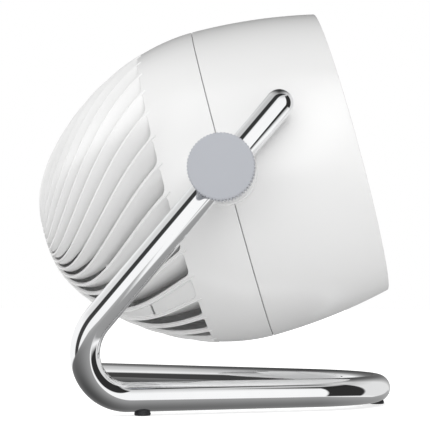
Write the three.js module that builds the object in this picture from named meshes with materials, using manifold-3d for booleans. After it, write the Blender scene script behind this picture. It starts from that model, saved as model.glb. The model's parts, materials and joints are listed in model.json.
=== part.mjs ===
// Air circulator fan: a round head with a swirl-grille bowl behind and a plain tapered shell in front, hung
// from one arm of a bent chromed tube. The same tube goes down, round the rear bend and forward over the
// floor, turns round the nose and runs back on the far side. Millimetres, +Z up, +X the way the air leaves,
// and Y along the tilt axis. The origin is on the floor, in the middle of the footprint.
import * as THREE from 'three';
import { mergeVertices } from 'three/addons/utils/BufferGeometryUtils.js';
import Module from 'manifold-3d';

const wasm = await Module();
wasm.setup();

// ---------------------------------------------------------------- driving dimensions
const GAP = 0.3; // between pieces that touch
const RUN_GAP = 0.35; // round pins and shafts that turn

const TUBE_DIAMETER = 19;
const TUBE_WALL = 1.5;
const ARM_ANGLE = 50.8; // above the floor, seen from the side
const ARM_SPLAY = 6.9; // outwards as the arm goes down
const ARM_ABOVE_PIVOT = 57; // to the centre of the domed end
const BEND_RADIUS = 31; // rear bend, on the tube's centre line
const NOSE_RADIUS = 77.7;
const NOSE_REACH = 104.7; // from the tilt axis to the nose's centre line
const FAR_LEG_REACH = 122; // how far behind the tilt axis the far leg ends
const FOOT_DIAMETER = 10.7;
const FOOT_HEIGHT = 2.4;
const FOOT_STEM = 5;
const NEAR_FOOT_BEHIND = 51.5;
const FAR_FOOT_BEHIND = 108;

const PIVOT_HEIGHT = 156.7;
const PIVOT_BEHIND_SEAM = 1.2;
const PIVOT_BELOW_AXIS = 1.8;
const HEAD_TILT = 15.16;
const PAD_DIAMETER = 43;
const PAD_THICK = 3.6;
const NECK_DIAMETER = 24;
const NECK_PAST_NUT = 0.1;
const NECK_ROOM = 1.3; // between the neck's end and the duct
const PAD_SKIRT = 12; // the pad's round side reaches this far down the curved shell
const INSERT_DEPTH = 10;
const INSERT_WALL = 3;
const WASHER_DEPTH = 6;
const WASHER_DIAMETER = 39;
const HUB_NUT_WALL = 1.5; // outside its thread, across the flats
const HUB_NUT_THICK = 4;
const STUD_DIAMETER = 8;
const SADDLE_DIAMETER = 17;
const KNOB_DIAMETER = 42.6;
const KNOB_DEPTH = 15.7;
const KNOB_FLUTES = 60;
const KNOB_FLUTE_DEPTH = 0.7;
const KNOB_RIM = 1.6; // round the face disc
const KNOB_FACE_THICK = 2;
const KNOB_WEB = 3; // behind the face disc
const KNOB_BOSS_RADIUS = 9;
const KNOB_WALL = 3.1;

const HEAD_RADIUS = 114; // at the parting seam
const SHELL_WALL = 2.6;
const SEAM_GAP = 0.5;
const TONGUE_REACH = 4;
const TONGUE_THICK = 2;
const BOWL_DEPTH = 140.8; // from the seam to the rear pole
const BOWL_FLAT_RADIUS = 18;
const BOWL_SHOULDER = 73.3; // how far back the bowl keeps its full width
const BOWL_CROWN = 51.6; // radius at which the bowl turns into its flat pole
const SLOT_END = 41.9; // behind the seam, where the slots of the swirl begin
const FRONT_DEPTH = 88.3;
const RIM_FALL = 10.4; // how much smaller the rim's radius is than the seam's
const FRONT_SHOULDER = 45; // where the front shell's taper is drawn from
const FRONT_SHOULDER_FALL = 0.5;

const FIN_COUNT = 34;
const FIN_THICK = 2.3;
const FIN_DEPTH = 15;
const FIN_SUNK = 0.4; // below the bowl's outline
const FIN_LEAN = 50; // from the inward normal, towards the next fin
const FIN_SWEEP = 0.97; // degrees round the axis for each millimetre nearer to it
const FIN_PHASE = 34.3;
const HUB_RADIUS = 23;
const HUB_THICK = 11;
const INNER_RING_BEHIND = 96;
const RING_BAR = 4;
const BLANK_SUNK = 1.3; // the closed slot's floor, under the bowl's outline
const BLANK_THICK = 1.8;
const BLANK_LENGTH = 63; // along the axis, from the slots' ends
const BLANK_NOTCH = 33; // from the slots' ends to the gap in the closed slot
const BLANK_NOTCH_WIDTH = 1.6;

const GLAND_DIAMETER = 10;
const GLAND_BORE = 5;
const GLAND_LIP = 2; // how far the lip outside the shell reaches past the hole
const GLAND_LIP_THICK = 2.4;

const DIAL_DIAMETER = 30;
const DIAL_THICK = 3;
const DIAL_NOTCH_LENGTH = 9;
const DIAL_NOTCH_WIDTH = 1.6;
const DIAL_NOTCH_DEPTH = 0.7;
const DIAL_NOTCH_FROM_RIM = 1.5;
const SPINDLE_DIAMETER = 6;
const SPINDLE_SUNK = 0.8; // below the dial's face
const SPINDLE_IN_SWITCH = 6;

const BLADE_COUNT = 5;
const BLADE_THICK = 2.2;
const BLADE_CHORD = 74;
const BLADE_ROOT_PITCH = 46;
const BLADE_TIP_PITCH = 24;
const BLADE_PLANE = 10; // the blades' middle, in front of the seam
const BLADE_HUB_RADIUS = 34;
const BLADE_HUB_FRONT = 12; // in front of the blades' middle
const BLADE_HUB_CROWN = 4;
const BLADE_BOSS_RADIUS = 10;
const TIP_CLEARANCE = 3.5;
const DUCT_WALL = 2.2;
const DUCT_START = -24;
const DUCT_LENGTH = 58;
const DUCT_FLARE = 5;
const SPOKE_WIDTH = 9;
const SPOKE_DEPTH = 4;
const PLATE_EDGE = 4; // from the shaft's hole and from the motor's outside to the spider's plate

const MOTOR_RADIUS = 38;
const MOTOR_WALL = 2.5;
const BELL_DEPTH = 18;
const STATOR_LENGTH = 24;
const AIR_GAP = 0.6;
const ROTOR_RADIUS = 20.5;
const SHAFT_DIAMETER = 8;
const SHAFT_TAIL = 4;
const BLADE_NUT_LENGTH = 6;
const MOTOR_SCREW_INSET = 12; // from the motor's outside
const COIL_ROOM = 1; // between the coils and what turns in them
const BEARING_DIAMETER = 19;
const BEARING_WIDTH = 6;
const CAPACITOR_DIAMETER = 22;
const CAPACITOR_LENGTH = 26;
const SWITCH_WIDTH = 26;
const SWITCH_DEPTH = 14;

const GRILLE_SEAT = 72; // front face of the ledge, in front of the seam
const LEDGE_THICK = 2.4;
const LEDGE_WIDTH = 6;
const GRILLE_RING_DEPTH = 8;
const GRILLE_RING_WIDTH = 3.2;
const GRILLE_DOME = 5;
const GRILLE_VANES = 24;
const VANE_THICK = 1.8;
const VANE_SWEEP = 62;
const CAP_RADIUS = 26;
const CAP_LIP = 1.5;
const CAP_EDGE = 2.5;
const CAP_THICK = 4.8;
const CAP_SUNK = 2; // below the vanes' fronts

const SCREW_DIAMETER = 3.5;
const SCREW_HEAD = 6.6;
const SCREW_LENGTH = 11;
const SCREW_HEAD_THICK = 2.2;

const ROUND_FACETS = FIN_COUNT; // round the head, so that each fin meets one facet
const BAND_STEPS = 4; // along the plain band behind the seam
const FRONT_STEPS = 5; // along the front shell
const MOTOR_FACETS = 20;
const TUBE_FACETS = 20;
const BAR_STEP = 11; // degrees between stations round the tube's bends
const BORE_STEP = 16;
const HUB_FACETS = 24;
const DISC_FACETS = 40;
const SMALL_FACETS = 16;

// ---------------------------------------------------------------- sizes that follow
const rad = THREE.MathUtils.degToRad;
const tubeRadius = TUBE_DIAMETER / 2;
const legHeight = FOOT_HEIGHT + tubeRadius;
const padFace = HEAD_RADIUS + PAD_THICK;
// The splayed arm crosses the flat pad and the flat knob at a slant, and clears the edge of each.
const tubeReach = tubeRadius / Math.cos(rad(ARM_SPLAY));
const armOffset = padFace + GAP + (PAD_DIAMETER / 2) * Math.tan(rad(ARM_SPLAY)) + tubeReach;
const knobBack = armOffset + tubeReach + (KNOB_DIAMETER / 2) * Math.tan(rad(ARM_SPLAY)) + GAP;
const studHole = STUD_DIAMETER + 2 * RUN_GAP;
const washerFrom = HEAD_RADIUS - SHELL_WALL - WASHER_DEPTH;
const neckEnd = washerFrom - GAP - HUB_NUT_THICK - NECK_PAST_NUT;
const ductThroat = neckEnd - NECK_ROOM - DUCT_WALL;
const bladeRadius = ductThroat - TIP_CLEARANCE;
const shaftHole = SHAFT_DIAMETER + 2 * RUN_GAP;

// ---------------------------------------------------------------- solids and meshes
const finish = {
  chrome: { color: 0xd9dcde, roughness: 0.06, metalness: 1 },
  gloss_white: { color: 0xf2f2f1, roughness: 0.18, metalness: 0 },
  blue_grey: { color: 0xb9bec9, roughness: 0.35, metalness: 0 },
  dark_plastic: { color: 0x3b3d40, roughness: 0.5, metalness: 0 },
  smoke_plastic: { color: 0x9a9da1, roughness: 0.4, metalness: 0 },
  rubber: { color: 0x2b2c2e, roughness: 0.8, metalness: 0 },
  steel: { color: 0x8d9196, roughness: 0.35, metalness: 1 },
  brass: { color: 0xb99a52, roughness: 0.35, metalness: 1 },
  copper: { color: 0xb0693c, roughness: 0.4, metalness: 1 },
  nylon: { color: 0xdcdcd6, roughness: 0.5, metalness: 0 },
};

// A geometry with its shared vertices joined, its empty triangles dropped and its faces pointing out.
function welded(geometry) {
  const bare = geometry.clone();
  for (const name of Object.keys(bare.attributes)) {
    if (name !== 'position') bare.deleteAttribute(name);
  }
  const joined = mergeVertices(bare, 1e-4);
  const index = joined.index.array;
  const kept = [];
  for (let i = 0; i < index.length; i += 3) {
    const [a, b, c] = index.slice(i, i + 3);
    if (a !== b && b !== c && c !== a) kept.push(a, b, c);
  }
  joined.setIndex(kept);
  if (signedVolume(joined) < 0) {
    joined.setIndex(kept.reverse());
  }
  return joined;
}

function signedVolume(geometry) {
  const at = geometry.attributes.position;
  const corner = [new THREE.Vector3(), new THREE.Vector3(), new THREE.Vector3()];
  let volume = 0;
  for (let i = 0; i < geometry.index.count; i += 3) {
    corner.forEach((v, k) => v.fromBufferAttribute(at, geometry.index.getX(i + k)));
    volume += corner[0].dot(corner[1].clone().cross(corner[2])) / 6;
  }
  return volume;
}

function solid(geometry) {
  const mesh = welded(geometry);
  return new wasm.Manifold(new wasm.Mesh({
    numProp: 3,
    vertProperties: new Float32Array(mesh.attributes.position.array),
    triVerts: new Uint32Array(mesh.index.array),
  }));
}

function geometryOf(shape) {
  const { vertProperties, triVerts } = shape.getMesh();
  const geometry = new THREE.BufferGeometry();
  geometry.setAttribute('position', new THREE.BufferAttribute(new Float32Array(vertProperties), 3));
  geometry.setIndex(new THREE.BufferAttribute(new Uint32Array(triVerts), 1));
  return geometry;
}

const join = (shapes) => shapes.reduce((whole, shape) => whole.add(shape));
const cut = (shape, tools) => tools.reduce((left, tool) => left.subtract(tool), shape);

function piece(parent, name, look, shape) {
  const geometry = shape.isBufferGeometry ? welded(shape) : geometryOf(shape);
  const flat = geometry.toNonIndexed();
  flat.computeVertexNormals();
  const mesh = new THREE.Mesh(flat, new THREE.MeshStandardMaterial(finish[look]));
  mesh.name = name;
  parent.add(mesh);
  return mesh;
}

// ---------------------------------------------------------------- shapes
// Revolves [axial, radius] points round the X axis.
function turned(profile, facets = ROUND_FACETS) {
  const points = profile.map(([axial, radius]) => new THREE.Vector2(radius, axial));
  if (points[0].x > 0 || points.at(-1).x > 0) points.push(points[0].clone());
  return new THREE.LatheGeometry(points, facets).rotateZ(-Math.PI / 2);
}

// The same, with a corner of the facets at an angle round the head's axis.
const turnedFrom = (angle, profile) => turned(profile).rotateX(angle + Math.PI / 2);

const ring = (from, to, inner, outer, facets = SMALL_FACETS) =>
  turned([[from, inner], [to, inner], [to, outer], [from, outer]], facets);

const disc = (from, to, radius, facets = SMALL_FACETS) =>
  turned([[from, 0], [from, radius], [to, radius], [to, 0]], facets);

// A six-sided nut on the X axis.
function nut(from, to, bore, corner) {
  return solid(disc(from, to, corner, 6)).subtract(solid(disc(from - 1, to + 1, bore)));
}

// A rod along the X axis, moved off it to (y, z).
const rod = (from, to, radius, y, z, facets = SMALL_FACETS) =>
  disc(from, to, radius, facets).translate(0, y, z);

// A disc or ring on the tilt axis: "out" is measured from the middle plane towards the near side.
const onTiltAxis = (geometry) => geometry.rotateZ(-Math.PI / 2);

// Joins closed rings of points into one skin. Each end closes on its own middle point, or on the pole given.
function loft(rings, poles = []) {
  const count = rings[0].length;
  const vertices = rings.flat();
  const faces = [];
  for (let j = 0; j + 1 < rings.length; j++) {
    for (let i = 0; i < count; i++) {
      const a = j * count + i;
      const b = j * count + ((i + 1) % count);
      faces.push(a, b, b + count, a, b + count, a + count);
    }
  }
  const middle = (points) => points.reduce((sum, p) => sum.add(p), new THREE.Vector3()).divideScalar(count);
  const first = vertices.push(poles[0] ?? middle(rings[0])) - 1;
  const last = vertices.push(poles[1] ?? middle(rings.at(-1))) - 1;
  const lastRing = (rings.length - 1) * count;
  for (let i = 0; i < count; i++) {
    const next = (i + 1) % count;
    faces.push(first, next, i, last, lastRing + i, lastRing + next);
  }
  const geometry = new THREE.BufferGeometry().setFromPoints(vertices);
  geometry.setIndex(faces);
  return geometry;
}

// Stations along straight runs between corners, with a round bend of the given radius at each inner corner.
function bentPath(corners, radii, stepDegrees) {
  const stations = [];
  const heading = (i) => corners[i + 1].clone().sub(corners[i]).normalize();
  stations.push({ point: corners[0].clone(), along: heading(0) });
  radii.forEach((radius, i) => {
    const into = heading(i);
    const out = heading(i + 1);
    const turn = into.angleTo(out);
    const start = corners[i + 1].clone().addScaledVector(into, -radius * Math.tan(turn / 2));
    const inward = out.clone().addScaledVector(into, -out.dot(into)).normalize();
    const steps = Math.ceil(turn / rad(stepDegrees));
    for (let k = 0; k <= steps; k++) {
      const angle = (turn * k) / steps;
      const point = start.clone().addScaledVector(into, radius * Math.sin(angle));
      point.addScaledVector(inward, radius * (1 - Math.cos(angle)));
      const along = into.clone().multiplyScalar(Math.cos(angle)).addScaledVector(inward, Math.sin(angle));
      stations.push({ point, along });
    }
  });
  const last = corners.length - 1;
  stations.push({ point: corners[last].clone(), along: heading(last - 1) });
  return stations;
}

// A round bar along the stations with a half-round dome beyond each end.
function domedBar(stations, radius, facets) {
  const domeSteps = [72, 50, 25];
  const side = new THREE.Vector3(0, 1, 0);
  const rings = [];
  const addRing = (centre, along, size) => {
    side.addScaledVector(along, -side.dot(along)).normalize();
    const up = along.clone().cross(side);
    rings.push(Array.from({ length: facets }, (_, i) => {
      const angle = (2 * Math.PI * i) / facets;
      const point = centre.clone().addScaledVector(side, size * Math.cos(angle));
      return point.addScaledVector(up, size * Math.sin(angle));
    }));
  };
  const dome = (end, sign, steps) => steps.forEach((degrees) => {
    const centre = end.point.clone().addScaledVector(end.along, sign * radius * Math.sin(rad(degrees)));
    addRing(centre, end.along, radius * Math.cos(rad(degrees)));
  });
  const start = stations[0];
  const finishEnd = stations.at(-1);
  dome(start, -1, domeSteps);
  stations.forEach(({ point, along }) => addRing(point, along, radius));
  dome(finishEnd, 1, domeSteps.toReversed());
  const poles = [
    start.point.clone().addScaledVector(start.along, -radius),
    finishEnd.point.clone().addScaledVector(finishEnd.along, radius),
  ];
  return loft(rings, poles);
}

// A closed strip with a four-sided section that follows a line: each station gives its four corners.
const strip = (stations) => loft(stations);

// ---------------------------------------------------------------- stand
const armHeading = new THREE.Vector3(Math.cos(rad(ARM_ANGLE)), 0, Math.sin(rad(ARM_ANGLE)));
armHeading.multiplyScalar(Math.cos(rad(ARM_SPLAY))).setY(Math.sin(rad(ARM_SPLAY)));
const armPivot = new THREE.Vector3(0, -armOffset, PIVOT_HEIGHT);
const rearCorner = armPivot.clone().addScaledVector(armHeading, (legHeight - PIVOT_HEIGHT) / armHeading.z);

// Both legs touch the round nose, so their lines meet in front of it.
const noseCentre = new THREE.Vector3(NOSE_REACH - NOSE_RADIUS, 0, legHeight);
const cornerToNose = noseCentre.clone().sub(rearCorner);
const legSpread = Math.atan2(cornerToNose.y, cornerToNose.x) - Math.asin(NOSE_RADIUS / cornerToNose.length());
const noseApex = noseCentre.x + NOSE_RADIUS / Math.sin(legSpread);
const legOffset = (x) => (noseApex - x) * Math.tan(legSpread);

function standCorners() {
  return [
    armPivot.clone().addScaledVector(armHeading, ARM_ABOVE_PIVOT),
    rearCorner,
    new THREE.Vector3(noseApex, 0, legHeight),
    new THREE.Vector3(-FAR_LEG_REACH, legOffset(-FAR_LEG_REACH), legHeight),
  ];
}

function standBar(radius, facets, stepDegrees) {
  return solid(domedBar(bentPath(standCorners(), [BEND_RADIUS, NOSE_RADIUS], stepDegrees), radius, facets));
}

const footPlaces = {
  foot_near: [-NEAR_FOOT_BEHIND, -legOffset(-NEAR_FOOT_BEHIND)],
  foot_far: [-FAR_FOOT_BEHIND, legOffset(-FAR_FOOT_BEHIND)],
  foot_nose: [NOSE_REACH, 0],
};

// An upright cylinder standing on height "from".
const upright = (from, to, radius, x, y) => disc(from, to, radius).rotateY(-Math.PI / 2).translate(x, y, 0);

// A cylinder or ring on the tilt axis of the stand, seen from the near side.
const atPivot = (geometry) => onTiltAxis(geometry).translate(0, 0, PIVOT_HEIGHT);

function buildStand(stand) {
  const boltHole = solid(atPivot(disc(armOffset - TUBE_DIAMETER, armOffset + TUBE_DIAMETER, studHole / 2)));
  const footHoles = Object.values(footPlaces).map(([x, y]) =>
    solid(upright(0, legHeight, FOOT_STEM / 2 + GAP, x, y)));
  const bore = standBar(tubeRadius - TUBE_WALL, TUBE_FACETS / 2 + 1, BORE_STEP);
  const bar = standBar(tubeRadius, TUBE_FACETS, BAR_STEP);
  piece(stand, 'stand_tube', 'chrome', cut(bar, [bore, boltHole, ...footHoles]));

  const hugged = standBar(tubeRadius + GAP, TUBE_FACETS, BAR_STEP);
  for (const [name, [x, y]] of Object.entries(footPlaces)) {
    const pad = solid(upright(0, FOOT_HEIGHT + tubeRadius * 0.3, FOOT_DIAMETER / 2, x, y)).subtract(hugged);
    const stem = solid(upright(FOOT_HEIGHT - GAP - 1, FOOT_HEIGHT + TUBE_WALL + 1.6, FOOT_STEM / 2, x, y));
    piece(stand, name, 'rubber', pad.add(stem));
  }

  const saddle = (from, to) => cut(solid(atPivot(disc(from, to, SADDLE_DIAMETER / 2))), [hugged, boltHole]);
  const grip = tubeRadius * 0.42; // how far up the tube's side the saddles reach
  const innerSaddle = saddle(padFace + GAP, armOffset - tubeRadius + grip);
  const outerSaddle = saddle(armOffset + tubeRadius - grip, knobBack - GAP);
  piece(stand, 'inner_saddle', 'nylon', innerSaddle);
  piece(stand, 'outer_saddle', 'nylon', outerSaddle);
}

// ---------------------------------------------------------------- head outline
const bowlCurve = new THREE.CubicBezierCurve(
  new THREE.Vector2(0, HEAD_RADIUS),
  new THREE.Vector2(-BOWL_SHOULDER, HEAD_RADIUS),
  new THREE.Vector2(-BOWL_DEPTH, BOWL_CROWN),
  new THREE.Vector2(-BOWL_DEPTH, BOWL_FLAT_RADIUS),
);
const frontCurve = new THREE.QuadraticBezierCurve(
  new THREE.Vector2(0, HEAD_RADIUS),
  new THREE.Vector2(FRONT_SHOULDER, HEAD_RADIUS - FRONT_SHOULDER_FALL),
  new THREE.Vector2(FRONT_DEPTH, HEAD_RADIUS - RIM_FALL),
);

// The place on a curve where one coordinate reaches a value; the coordinate runs one way along the curve.
function whereOn(curve, axis, value) {
  const rising = curve.getPoint(1)[axis] > curve.getPoint(0)[axis];
  let low = 0;
  let high = 1;
  for (let i = 0; i < 40; i++) {
    const middle = (low + high) / 2;
    if (curve.getPoint(middle)[axis] > value === rising) high = middle;
    else low = middle;
  }
  return (low + high) / 2;
}

// Points of a curve moved inwards by "inset", from place t0 to t1.
function insetCurve(curve, t0, t1, steps, inset) {
  const into = curve === bowlCurve ? 1 : -1;
  return Array.from({ length: steps + 1 }, (_, i) => {
    const t = t0 + ((t1 - t0) * i) / steps;
    const point = curve.getPoint(t);
    const along = curve.getTangent(t);
    return [point.x - into * inset * along.y, point.y + into * inset * along.x];
  });
}

const headRadiusAt = (axial) => (axial < 0
  ? bowlCurve.getPoint(whereOn(bowlCurve, 'x', axial)).y
  : frontCurve.getPoint(whereOn(frontCurve, 'x', axial)).y);

// The whole head as a plain solid, moved inwards (or outwards, if negative) by "inset".
function headEnvelope(inset) {
  const front = insetCurve(frontCurve, 0, 1, FRONT_STEPS, inset);
  const band = insetCurve(bowlCurve, 0, slotPlace, BAND_STEPS, inset);
  const pole = insetCurve(bowlCurve, slotPlace, 1, 8, inset);
  const outline = [...front.toReversed(), ...band.slice(1), ...pole.slice(1)];
  const profile = [[front.at(-1)[0], 0], ...outline, [pole.at(-1)[0], 0]];
  return solid(turnedFrom(finCorner(slotRadius), profile));
}

// Puts a geometry made on the tilt axis where that axis crosses the head's own frame.
const atHeadPivot = (geometry) => onTiltAxis(geometry).translate(-PIVOT_BEHIND_SEAM, 0, -PIVOT_BELOW_AXIS);

// The hole through both shells for the pivot's neck.
const neckHole = () =>
  solid(atHeadPivot(disc(neckEnd - PAD_SKIRT, padFace + 1, NECK_DIAMETER / 2 + GAP, HUB_FACETS)));

// ---------------------------------------------------------------- rear shell: bowl with the swirl grille
const slotPlace = whereOn(bowlCurve, 'x', -SLOT_END);
const hubPlace = whereOn(bowlCurve, 'y', HUB_RADIUS);
const slotRadius = bowlCurve.getPoint(slotPlace).y;

// A unit vector at an angle round the head's axis: 0 is the near side, a quarter turn is down.
const outward = (angle) => new THREE.Vector3(0, -Math.cos(angle), -Math.sin(angle));
const around = (angle) => new THREE.Vector3(0, Math.sin(angle), -Math.cos(angle));

const finAngle = (radius) => rad(FIN_PHASE + FIN_SWEEP * (slotRadius - radius));

// Where a facet of the bowl may have its corner at a radius: just short of a fin.
const finCorner = (radius) => finAngle(radius) - 0.02;

function fin(turn) {
  const steps = 6;
  const first = slotPlace - 0.008;
  const stations = Array.from({ length: steps + 1 }, (_, i) => {
    const t = first + ((hubPlace + 0.02 - first) * i) / steps;
    const { x: axial, y: radius } = bowlCurve.getPoint(t);
    const angle = turn + finAngle(radius);
    const slope = bowlCurve.getTangent(t);
    const meridian = new THREE.Vector3(slope.x, 0, 0).addScaledVector(outward(angle), slope.y);
    const inNormal = new THREE.Vector3(-slope.y, 0, 0).addScaledVector(outward(angle), slope.x);
    const travel = meridian.clone().addScaledVector(around(angle), -radius * rad(FIN_SWEEP) * slope.y);
    const lean = rad(FIN_LEAN);
    const down = inNormal.clone().multiplyScalar(Math.cos(lean));
    down.addScaledVector(around(angle), Math.sin(lean));
    const across = travel.normalize().cross(down).normalize();
    const nearHub = THREE.MathUtils.clamp((radius - HUB_RADIUS) / (slotRadius - HUB_RADIUS), 0, 1);
    const depth = FIN_DEPTH * (0.35 + 0.65 * Math.sqrt(nearHub));
    const half = (FIN_THICK * (0.55 + 0.45 * nearHub)) / 2;
    const top = new THREE.Vector3(axial, 0, 0).addScaledVector(outward(angle), radius);
    top.addScaledVector(inNormal, FIN_SUNK);
    const foot = top.clone().addScaledVector(down, depth);
    const corner = (base, side) => base.clone().addScaledVector(across, side * half);
    return [corner(top, -1), corner(top, 1), corner(foot, 1), corner(foot, -1)];
  });
  return solid(strip(stations));
}

// A floor between the first fin and the next, which closes their slot from one place on the bowl's curve to another.
function slotFloor(from, to) {
  const steps = 4;
  const pitch = (2 * Math.PI) / FIN_COUNT;
  const top = insetCurve(bowlCurve, from, to, steps, BLANK_SUNK);
  const under = insetCurve(bowlCurve, from, to, steps, BLANK_SUNK + BLANK_THICK);
  const stations = top.map((_, i) => {
    const { y: radius } = bowlCurve.getPoint(from + ((to - from) * i) / steps);
    const start = finAngle(radius) + (BLANK_SUNK * Math.tan(rad(FIN_LEAN))) / radius;
    const at = ([axial, height], angle) => outward(angle).multiplyScalar(height).setX(axial);
    return [at(top[i], start), at(top[i], start + pitch), at(under[i], start + pitch), at(under[i], start)];
  });
  return solid(strip(stations));
}

// One slot, low on the near side, is closed in two lengths with a narrow notch between them.
function closedSlot() {
  const place = (length) => whereOn(bowlCurve, 'x', -SLOT_END - length);
  return [
    slotFloor(slotPlace - 0.008, place(BLANK_NOTCH)),
    slotFloor(place(BLANK_NOTCH + BLANK_NOTCH_WIDTH), place(BLANK_LENGTH)),
  ];
}

// The plain band between the slots and the seam, with a tongue that enters the front shell.
function bowlBand() {
  const outer = insetCurve(bowlCurve, 0, slotPlace, BAND_STEPS, 0);
  const inner = insetCurve(bowlCurve, 0, slotPlace, BAND_STEPS, SHELL_WALL);
  const tongueTop = HEAD_RADIUS - SHELL_WALL - GAP;
  const tongueUnder = tongueTop - TONGUE_THICK;
  outer[0][0] = -SEAM_GAP / 2;
  const tongue = [
    [-TONGUE_REACH - TONGUE_THICK, inner[1][1]], [-TONGUE_REACH, tongueUnder], [TONGUE_REACH, tongueUnder],
    [TONGUE_REACH, tongueTop], [-SEAM_GAP / 2, tongueTop],
  ];
  return solid(turnedFrom(finCorner(slotRadius), [...outer, ...inner.slice(1).reverse(), ...tongue]));
}

function bowlHub() {
  const rear = insetCurve(bowlCurve, hubPlace, 1, 2, 0);
  const inside = -BOWL_DEPTH + HUB_THICK;
  const profile = [[inside, 0], [inside, HUB_RADIUS], ...rear, [-BOWL_DEPTH, 0]];
  const hub = solid(turnedFrom(finCorner(HUB_RADIUS), profile));
  const recessRadius = DIAL_DIAMETER / 2 + RUN_GAP;
  const recess = solid(disc(-BOWL_DEPTH - 1, -BOWL_DEPTH + DIAL_THICK + GAP, recessRadius, HUB_FACETS));
  const hole = solid(disc(-BOWL_DEPTH, inside + 1, SPINDLE_DIAMETER / 2 + RUN_GAP));
  return cut(hub, [recess, hole]);
}

const spokeAngles = [45, 135, 225, 315].map(rad);
const ductScrewRadius = ductThroat + DUCT_WALL + SCREW_HEAD / 2 + 1;

// Four posts inside the band that carry the duct's flange.
function ductPosts() {
  const innerSpace = headEnvelope(SHELL_WALL / 2);
  const from = -SLOT_END + 2;
  const to = DUCT_START - GAP;
  const posts = spokeAngles.map((angle) => {
    const inside = ductScrewRadius - SCREW_HEAD / 2;
    const block = new THREE.BoxGeometry(to - from, HEAD_RADIUS - inside, SPOKE_WIDTH);
    block.translate((from + to) / 2, (HEAD_RADIUS + inside) / 2, 0).rotateX(angle);
    const { y, z } = outwardAt(ductScrewRadius, angle);
    const pilot = solid(rod(to - SCREW_LENGTH, to + 1, SCREW_DIAMETER / 2 + GAP, y, z, 8));
    return solid(block).intersect(innerSpace).subtract(pilot);
  });
  return posts;
}

const outwardAt = (radius, angle) => ({ y: radius * Math.cos(angle), z: radius * Math.sin(angle) });

const glandAngle = rad(150);
const glandAxial = (DUCT_START - SLOT_END) / 2; // midway between the duct's flange and the slots
const glandSpot = whereOn(bowlCurve, 'x', glandAxial);

// A shape made on the X axis, with the shell's outer face at zero, stood square on the band at the cord's hole.
function atGland(geometry) {
  const slope = bowlCurve.getTangent(glandSpot);
  geometry.rotateZ(-Math.PI / 2 - Math.atan(slope.y / slope.x));
  return geometry.translate(glandAxial, -bowlCurve.getPoint(glandSpot).y, 0).rotateX(glandAngle);
}

function rearShell() {
  const fins = Array.from({ length: FIN_COUNT }, (_, i) => fin((2 * Math.PI * i) / FIN_COUNT));
  const ringRadius = headRadiusAt(-INNER_RING_BEHIND) - FIN_DEPTH * Math.cos(rad(FIN_LEAN));
  const ringStart = -INNER_RING_BEHIND - RING_BAR / 2;
  const ringEnd = ringStart + RING_BAR;
  const innerRing = solid(turnedFrom(finCorner(ringRadius), [
    [ringStart, ringRadius - RING_BAR], [ringEnd, ringRadius - RING_BAR],
    [ringEnd, ringRadius], [ringStart, ringRadius],
  ]));
  const glandHole = solid(atGland(disc(-4 * SHELL_WALL, 2 * SHELL_WALL, GLAND_DIAMETER / 2 + GAP)));
  const grille = join([bowlBand(), ...fins, ...closedSlot(), innerRing, bowlHub()]);
  return cut(join([grille, ...ductPosts()]), [neckHole(), glandHole]);
}

// ---------------------------------------------------------------- front shell, duct and front grille
const innerAtSeat = headRadiusAt(GRILLE_SEAT) - SHELL_WALL;

// The inner wall in front of the ledge, as a straight taper from the ledge to the rim.
function mouthLine() {
  const line = insetCurve(frontCurve, whereOn(frontCurve, 'x', GRILLE_SEAT), 1, 1, SHELL_WALL);
  line[1][0] = FRONT_DEPTH;
  return line;
}

function mouthRadius(axial) {
  const [[seat, wide], [rim, narrow]] = mouthLine();
  return wide + ((narrow - wide) * (axial - seat)) / (rim - seat);
}

// The tapered front shell, with the ledge inside it that the grille rests on.
function frontShell() {
  const back = whereOn(frontCurve, 'x', GRILLE_SEAT - LEDGE_THICK);
  const outer = insetCurve(frontCurve, 0, 1, FRONT_STEPS, 0);
  const throat = insetCurve(frontCurve, 0, back, 3, SHELL_WALL);
  outer[0][0] = SEAM_GAP / 2;
  throat[0][0] = SEAM_GAP / 2;
  const ledgeRadius = innerAtSeat - LEDGE_WIDTH;
  const ledge = [[GRILLE_SEAT, ledgeRadius], [GRILLE_SEAT - LEDGE_THICK, ledgeRadius]];
  const profile = [...outer, ...mouthLine().reverse(), ...ledge, ...throat.reverse()];
  const skin = solid(turnedFrom(finCorner(slotRadius), profile));
  return skin.subtract(neckHole());
}

const grilleFrameFront = GRILLE_SEAT + GAP + GRILLE_RING_DEPTH;
const grilleOuter = mouthRadius(grilleFrameFront) - GAP;

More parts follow.
